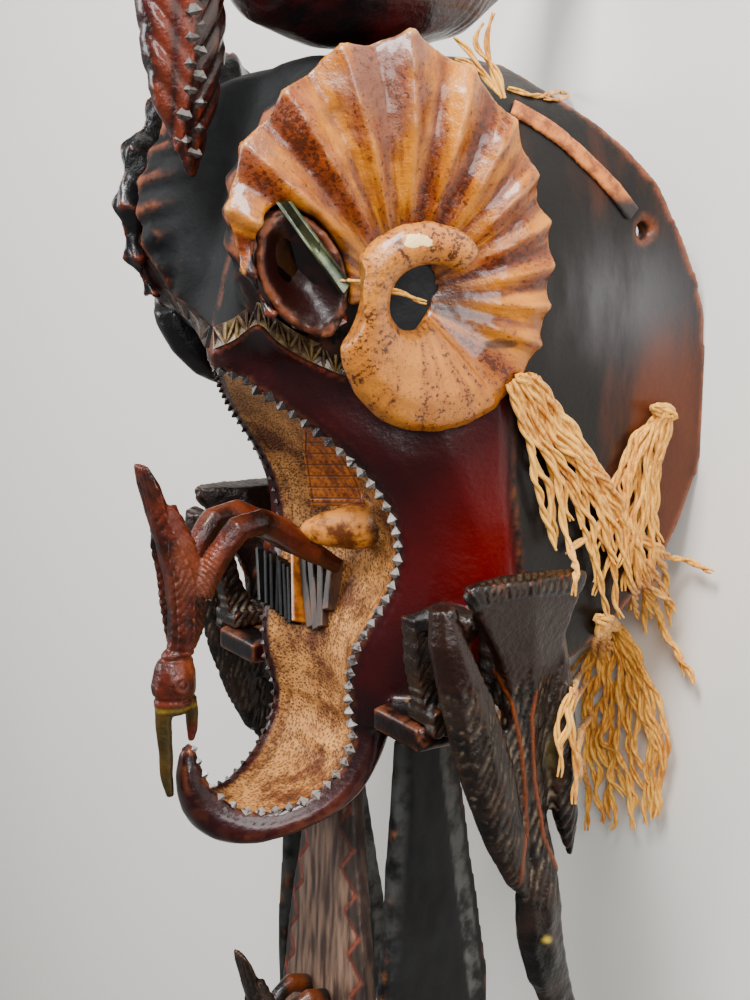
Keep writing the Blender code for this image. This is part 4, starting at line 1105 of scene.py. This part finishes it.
# %% [markdown]
# ## The raffia
# The raffia hangs in two-ply strands, each about 4 mm thick, that wave, spread and end in curls. A strand
# is two thin tubes wound round one another. Its path is drawn as it is seen, and each of its points is put
# on what lies behind it there, the shell or the floor, with a little air under it. Depths are then evened
# along the strand, never deeper than what is behind, so it drapes over the shell's rim.

# %% The strands' paths
random.seed(11)
solid_trees = [helmet_skin, surface(bpy.data.objects["side_hornbill_left"])]

def draped(seen, lift, trees=(helmet_skin,), wave=4.0, length=60.0, steps=9):
    """A strand's points from its seen path: wavy, evened in depth, and lying on what is behind it."""
    line = rounded(seen, steps)
    shift = random.uniform(0, 100)
    run = np.concatenate([[0], np.cumsum(np.linalg.norm(np.diff(line, axis=0), axis=1))])
    ramp = np.minimum(1, run / 40)
    sway = np.array([[noise(Vector((mark / length * 2, shift, row))) for row in (0, 9)] for mark in run])
    line = line + sway * wave * 2 * ramp[:, None]
    depth = np.array([behind(x, y, trees) for x, y in line])
    limit = depth - lift
    for _ in range(14):
        evened = np.convolve(np.pad(depth, 1, mode="edge"), (0.25, 0.5, 0.25), "valid")
        depth = np.minimum(evened, limit)
    return np.array([EYE_PLACE + ray_at(x, y) * far for (x, y), far in zip(line, depth)])


# %% The two-ply twist
def twist(strands, name, replaced=(), thick=1.3):
    """Two thin tubes wound round each path, all in one piece."""
    curve = bpy.data.curves.new(name, "CURVE")
    curve.dimensions = "3D"
    curve.bevel_depth = thick / 1000
    curve.bevel_resolution = 1
    curve.use_fill_caps = True
    for path in strands:
        path = np.asarray(path, float)
        run = np.concatenate([[0], np.cumsum(np.linalg.norm(np.diff(path, axis=0), axis=1))])
        marks = np.arange(0, run[-1], 3.0)
        places = np.stack([np.interp(marks, run, path[:, k]) for k in range(3)], -1)
        for _ in range(2):
            places[1:-1] = 0.25 * places[:-2] + 0.5 * places[1:-1] + 0.25 * places[2:]
        ahead = np.gradient(places, axis=0)
        ahead /= np.linalg.norm(ahead, axis=1, keepdims=True) + 1e-9
        side = np.cross(ahead, (0.2, 0.1, 0.97))
        side /= np.linalg.norm(side, axis=1, keepdims=True) + 1e-9
        up = np.cross(side, ahead)
        start = random.uniform(0, 6)
        pitch = random.uniform(24, 44)
        for ply in (0, math.pi):
            turn = start + ply + marks / pitch * 2 * math.pi
            offset = side * np.cos(turn)[:, None] + up * np.sin(turn)[:, None]
            wound = places + offset * thick * 0.85
            thread = curve.splines.new("POLY")
            thread.points.add(len(wound) - 1)
            taper = np.interp(marks, (0, 4, marks[-1] - 8, marks[-1]), (0.8, 1, 1, 0.45))
            taper *= random.uniform(0.75, 1.1)
            flat = np.concatenate([metres(wound), np.ones((len(wound), 1))], 1)
            thread.points.foreach_set("co", flat.astype(np.float32).ravel())
            thread.points.foreach_set("radius", taper.astype(np.float32))
    holder = bpy.data.objects.new(name, curve)
    stage_set.collection.objects.link(holder)
    mesh = bpy.data.meshes.new_from_object(holder.evaluated_get(bpy.context.evaluated_depsgraph_get()))
    bpy.data.objects.remove(holder)
    made = bpy.data.objects.new(name, mesh)
    mesh.name = name
    mesh.materials.clear()
    mesh.materials.append(raffia_finish)
    mesh.polygons.foreach_set("use_smooth", [True] * len(mesh.polygons))
    stage_set.collection.objects.link(made)
    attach(made, "root")
    if replaced:
        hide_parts(*replaced)
    print(name, len(strands), "strands", len(mesh.polygons), "faces")
    return made


straw = Finish("dry_twisted_raffia", sheen=0.15)
dry = straw.cloud(30.0, 4.0, 0.6)
thread_lines = straw.cloud(700.0, 2.0, 0.6, (1.0, 0.25, 0.6))
faded = (dry * 0.5 + thread_lines * 0.5).between(0.38, 0.6)
straw_tone = straw.mix(rgb(184, 124, 54), rgb(230, 182, 104), faded)
straw_tone = straw.mix(straw_tone, rgb(116, 78, 40), straw.cloud(90.0, 3.0).between(0.62, 0.78) * 0.7)
raffia_finish = straw.done(straw_tone, 0.62, straw.bumped(thread_lines, 0.0006, 0.6))

# %% [markdown]
# A tassel is a set of guide paths. Strands are drawn between neighbouring guides, each with its own share,
# length and wave, so they fill the tassel's spread without lying in rows.

# %% The tassels
def between(guides, count):
    """This many strands spread between neighbouring guides."""
    found = []
    guides = [rounded(guide, 5) for guide in guides]
    for step in range(count):
        place = (step + random.uniform(0, 0.8)) / count * (len(guides) - 1)
        low = min(int(place), len(guides) - 2)
        share = place - low
        samples = np.linspace(0, 1, 9) * random.uniform(0.7, 1.0)
        pair = []
        for guide in guides[low:low + 2]:
            marks = np.linspace(0, 1, len(guide))
            pair.append(np.stack([np.interp(samples, marks, guide[:, k]) for k in range(2)], -1))
        seen = pair[0] * (1 - share) + pair[1] * share
        lift, length = random.uniform(3.0, 11.0), random.uniform(40, 80)
        found.append(draped(seen, lift, solid_trees, wave=5.5, length=length, steps=5))
    return found


CHEEK = [[(508, 384), (520, 420), (534, 470), (546, 520), (552, 575)],
         [(516, 378), (536, 430), (562, 480), (580, 540), (590, 610)],
         [(522, 376), (552, 430), (592, 490), (612, 560), (628, 640)],
         [(528, 374), (566, 436), (606, 500), (640, 570), (676, 716)],
         [(534, 376), (578, 446), (618, 508), (650, 590), (722, 706)],
         [(540, 380), (590, 456), (630, 520), (670, 552), (720, 576)]]
RIM = [[(662, 412), (636, 436), (618, 476), (602, 520), (566, 560)],
       [(664, 412), (644, 446), (632, 500), (622, 560), (606, 630)],
       [(668, 412), (656, 456), (644, 510), (640, 570), (650, 640)],
       [(672, 414), (664, 450), (652, 500), (668, 560), (696, 632)]]
JAW = [[(600, 622), (584, 664), (564, 700), (556, 750), (562, 812)],
       [(604, 624), (598, 680), (584, 740), (590, 800), (584, 846)],
       [(608, 624), (616, 680), (612, 740), (626, 800), (618, 850)],
       [(612, 622), (634, 680), (646, 740), (650, 790), (640, 852)],
       [(616, 620), (650, 672), (664, 720), (668, 770), (662, 820)]]
cheek_strands = between(CHEEK, 24)
rim_strands = between(RIM, 16)
jaw_strands = between(JAW, 22)
for x, y, size, bunch in ((524, 380, 9, cheek_strands), (664, 412, 14, rim_strands),
                          (606, 622, 12, jaw_strands)):
    for step in range(4):
        turn = np.linspace(0, 2 * math.pi * 1.1, 12) + step * 1.4
        loop = [(x + size * (0.7 + 0.12 * step) * math.cos(a), y + size * 0.5 * math.sin(a + 0.3 * step))
                for a in turn]
        bunch.append(draped(loop, 5 + 2.0 * step, wave=1.0, steps=2))
turned_over = (-1, 1, 1)
for name, bunch in (("cheek", cheek_strands), ("rim", rim_strands), ("jaw", jaw_strands)):
    twist(bunch, "raffia_%s_left" % name, ("tassel_%s_left" % name,))
    twist([path * turned_over for path in bunch], "raffia_%s_right" % name, ("tassel_%s_right" % name,))

# %% [markdown]
# A few loose ends show elsewhere: a tie round the crown, a strand behind the curl, and one beside the jaw.

# %% The loose ends
by_curl = rounded([(340, 279), (362, 283), (390, 291), (404, 293), (418, 301), (432, 303)], 5)
loose = [np.array([on_plane(x, y, 7.0, HORN_MIDDLE) for x, y in by_curl])]
loose.append(draped([(602, 632), (560, 684), (515, 728), (478, 752), (466, 768), (450, 788)], 2.0, wave=1.0))
loose.append(draped([(508, 88), (536, 96), (556, 92), (570, 95), (556, 100), (540, 97)], 2.0, wave=1.0))
crown = behind(500, 96, (helmet_skin,)) - 6
for seen in ([(500, 96), (484, 74), (468, 50), (452, 36)], [(502, 98), (492, 70), (486, 40), (494, 12)],
             [(498, 94), (474, 66), (462, 60), (450, 58)], [(504, 98), (498, 72), (474, 44), (484, 22)]):
    line = rounded(seen, 6)
    loose.append(np.array([EYE_PLACE + ray_at(x, y) * (crown - 0.1 * step)
                           for step, (x, y) in enumerate(line)]))
twist(loose, "raffia_loose_ends", thick=0.95)

# %% [markdown]
# ## The feet in the mouth
# The front bird's feet end in a comb of toes that stands in the dish under the peg, beside a few slats. They
# are bevelled bars. Each runs between two seen places on the dish, and leans out of it a little.

# %% The toes and slats
def bar(shape, top, foot, wide, deep, lift):
    ends = []
    for x, y in (top, foot):
        hit = helmet_skin.ray_cast(Vector(metres(EYE_PLACE)), Vector(ray_at(x, y)))
        ends.append((hit[0] + hit[1] * lift / 1000, hit[1]))
    (start, out), (end, other) = ends
    middle = (start + end) / 2
    matrix = stand(end - start, out + other, middle)
    size = Matrix.Diagonal((wide / 1000, (end - start).length, deep / 1000, 1))
    made = bmesh.ops.create_cube(shape, size=1.0, matrix=matrix @ size)
    edges = {edge for vert in made["verts"] for edge in vert.link_edges}
    bmesh.ops.bevel(shape, geom=list(edges), offset=0.0005, segments=1, profile=0.5, affect="EDGES",
                    material=-1)


toes = bmesh.new()
for step in range(7):
    share = step / 6
    bar(toes, (272 + 28 * share, 552 + 18 * share), (270 + 30 * share, 604 + 20 * share), 2.2, 12, 5)
slats = bmesh.new()
for top, foot in (((312, 556), (315, 627)), ((322, 557), (321, 629)), ((332, 558), (326, 627)),
                  ((341, 560), (333, 612))):
    bar(slats, top, foot, 5.2, 9, 3)
warm_strip = bmesh.new()
bar(warm_strip, (307, 556), (305, 622), 2.4, 14, 5)
new_piece("toe_comb", toes, coal_finish)
slat_wood = Finish("brown_mouth_slats")
lines = slat_wood.cloud(90.0, 5.0, 0.6, (1.0, 0.15, 1.0))
slat_brown = slat_wood.mix(rgb(32, 22, 17), rgb(84, 60, 45), lines.between(0.38, 0.62))
slat_finish = slat_wood.done(slat_brown, 0.5, slat_wood.bumped(lines, 0.001, 0.6))
new_piece("mouth_slats", slats, slat_finish)
amber = Finish("amber_strip", coat=0.3)
glow_brown = amber.mix(rgb(140, 80, 44), rgb(196, 134, 80), amber.cloud(110.0).between(0.35, 0.6))
amber_finish = amber.done(glow_brown, 0.35, amber.bumped(amber.cloud(200.0), 0.0008, 0.5))
new_piece("amber_slat", warm_strip, amber_finish)
print("toes, slats and strip made")
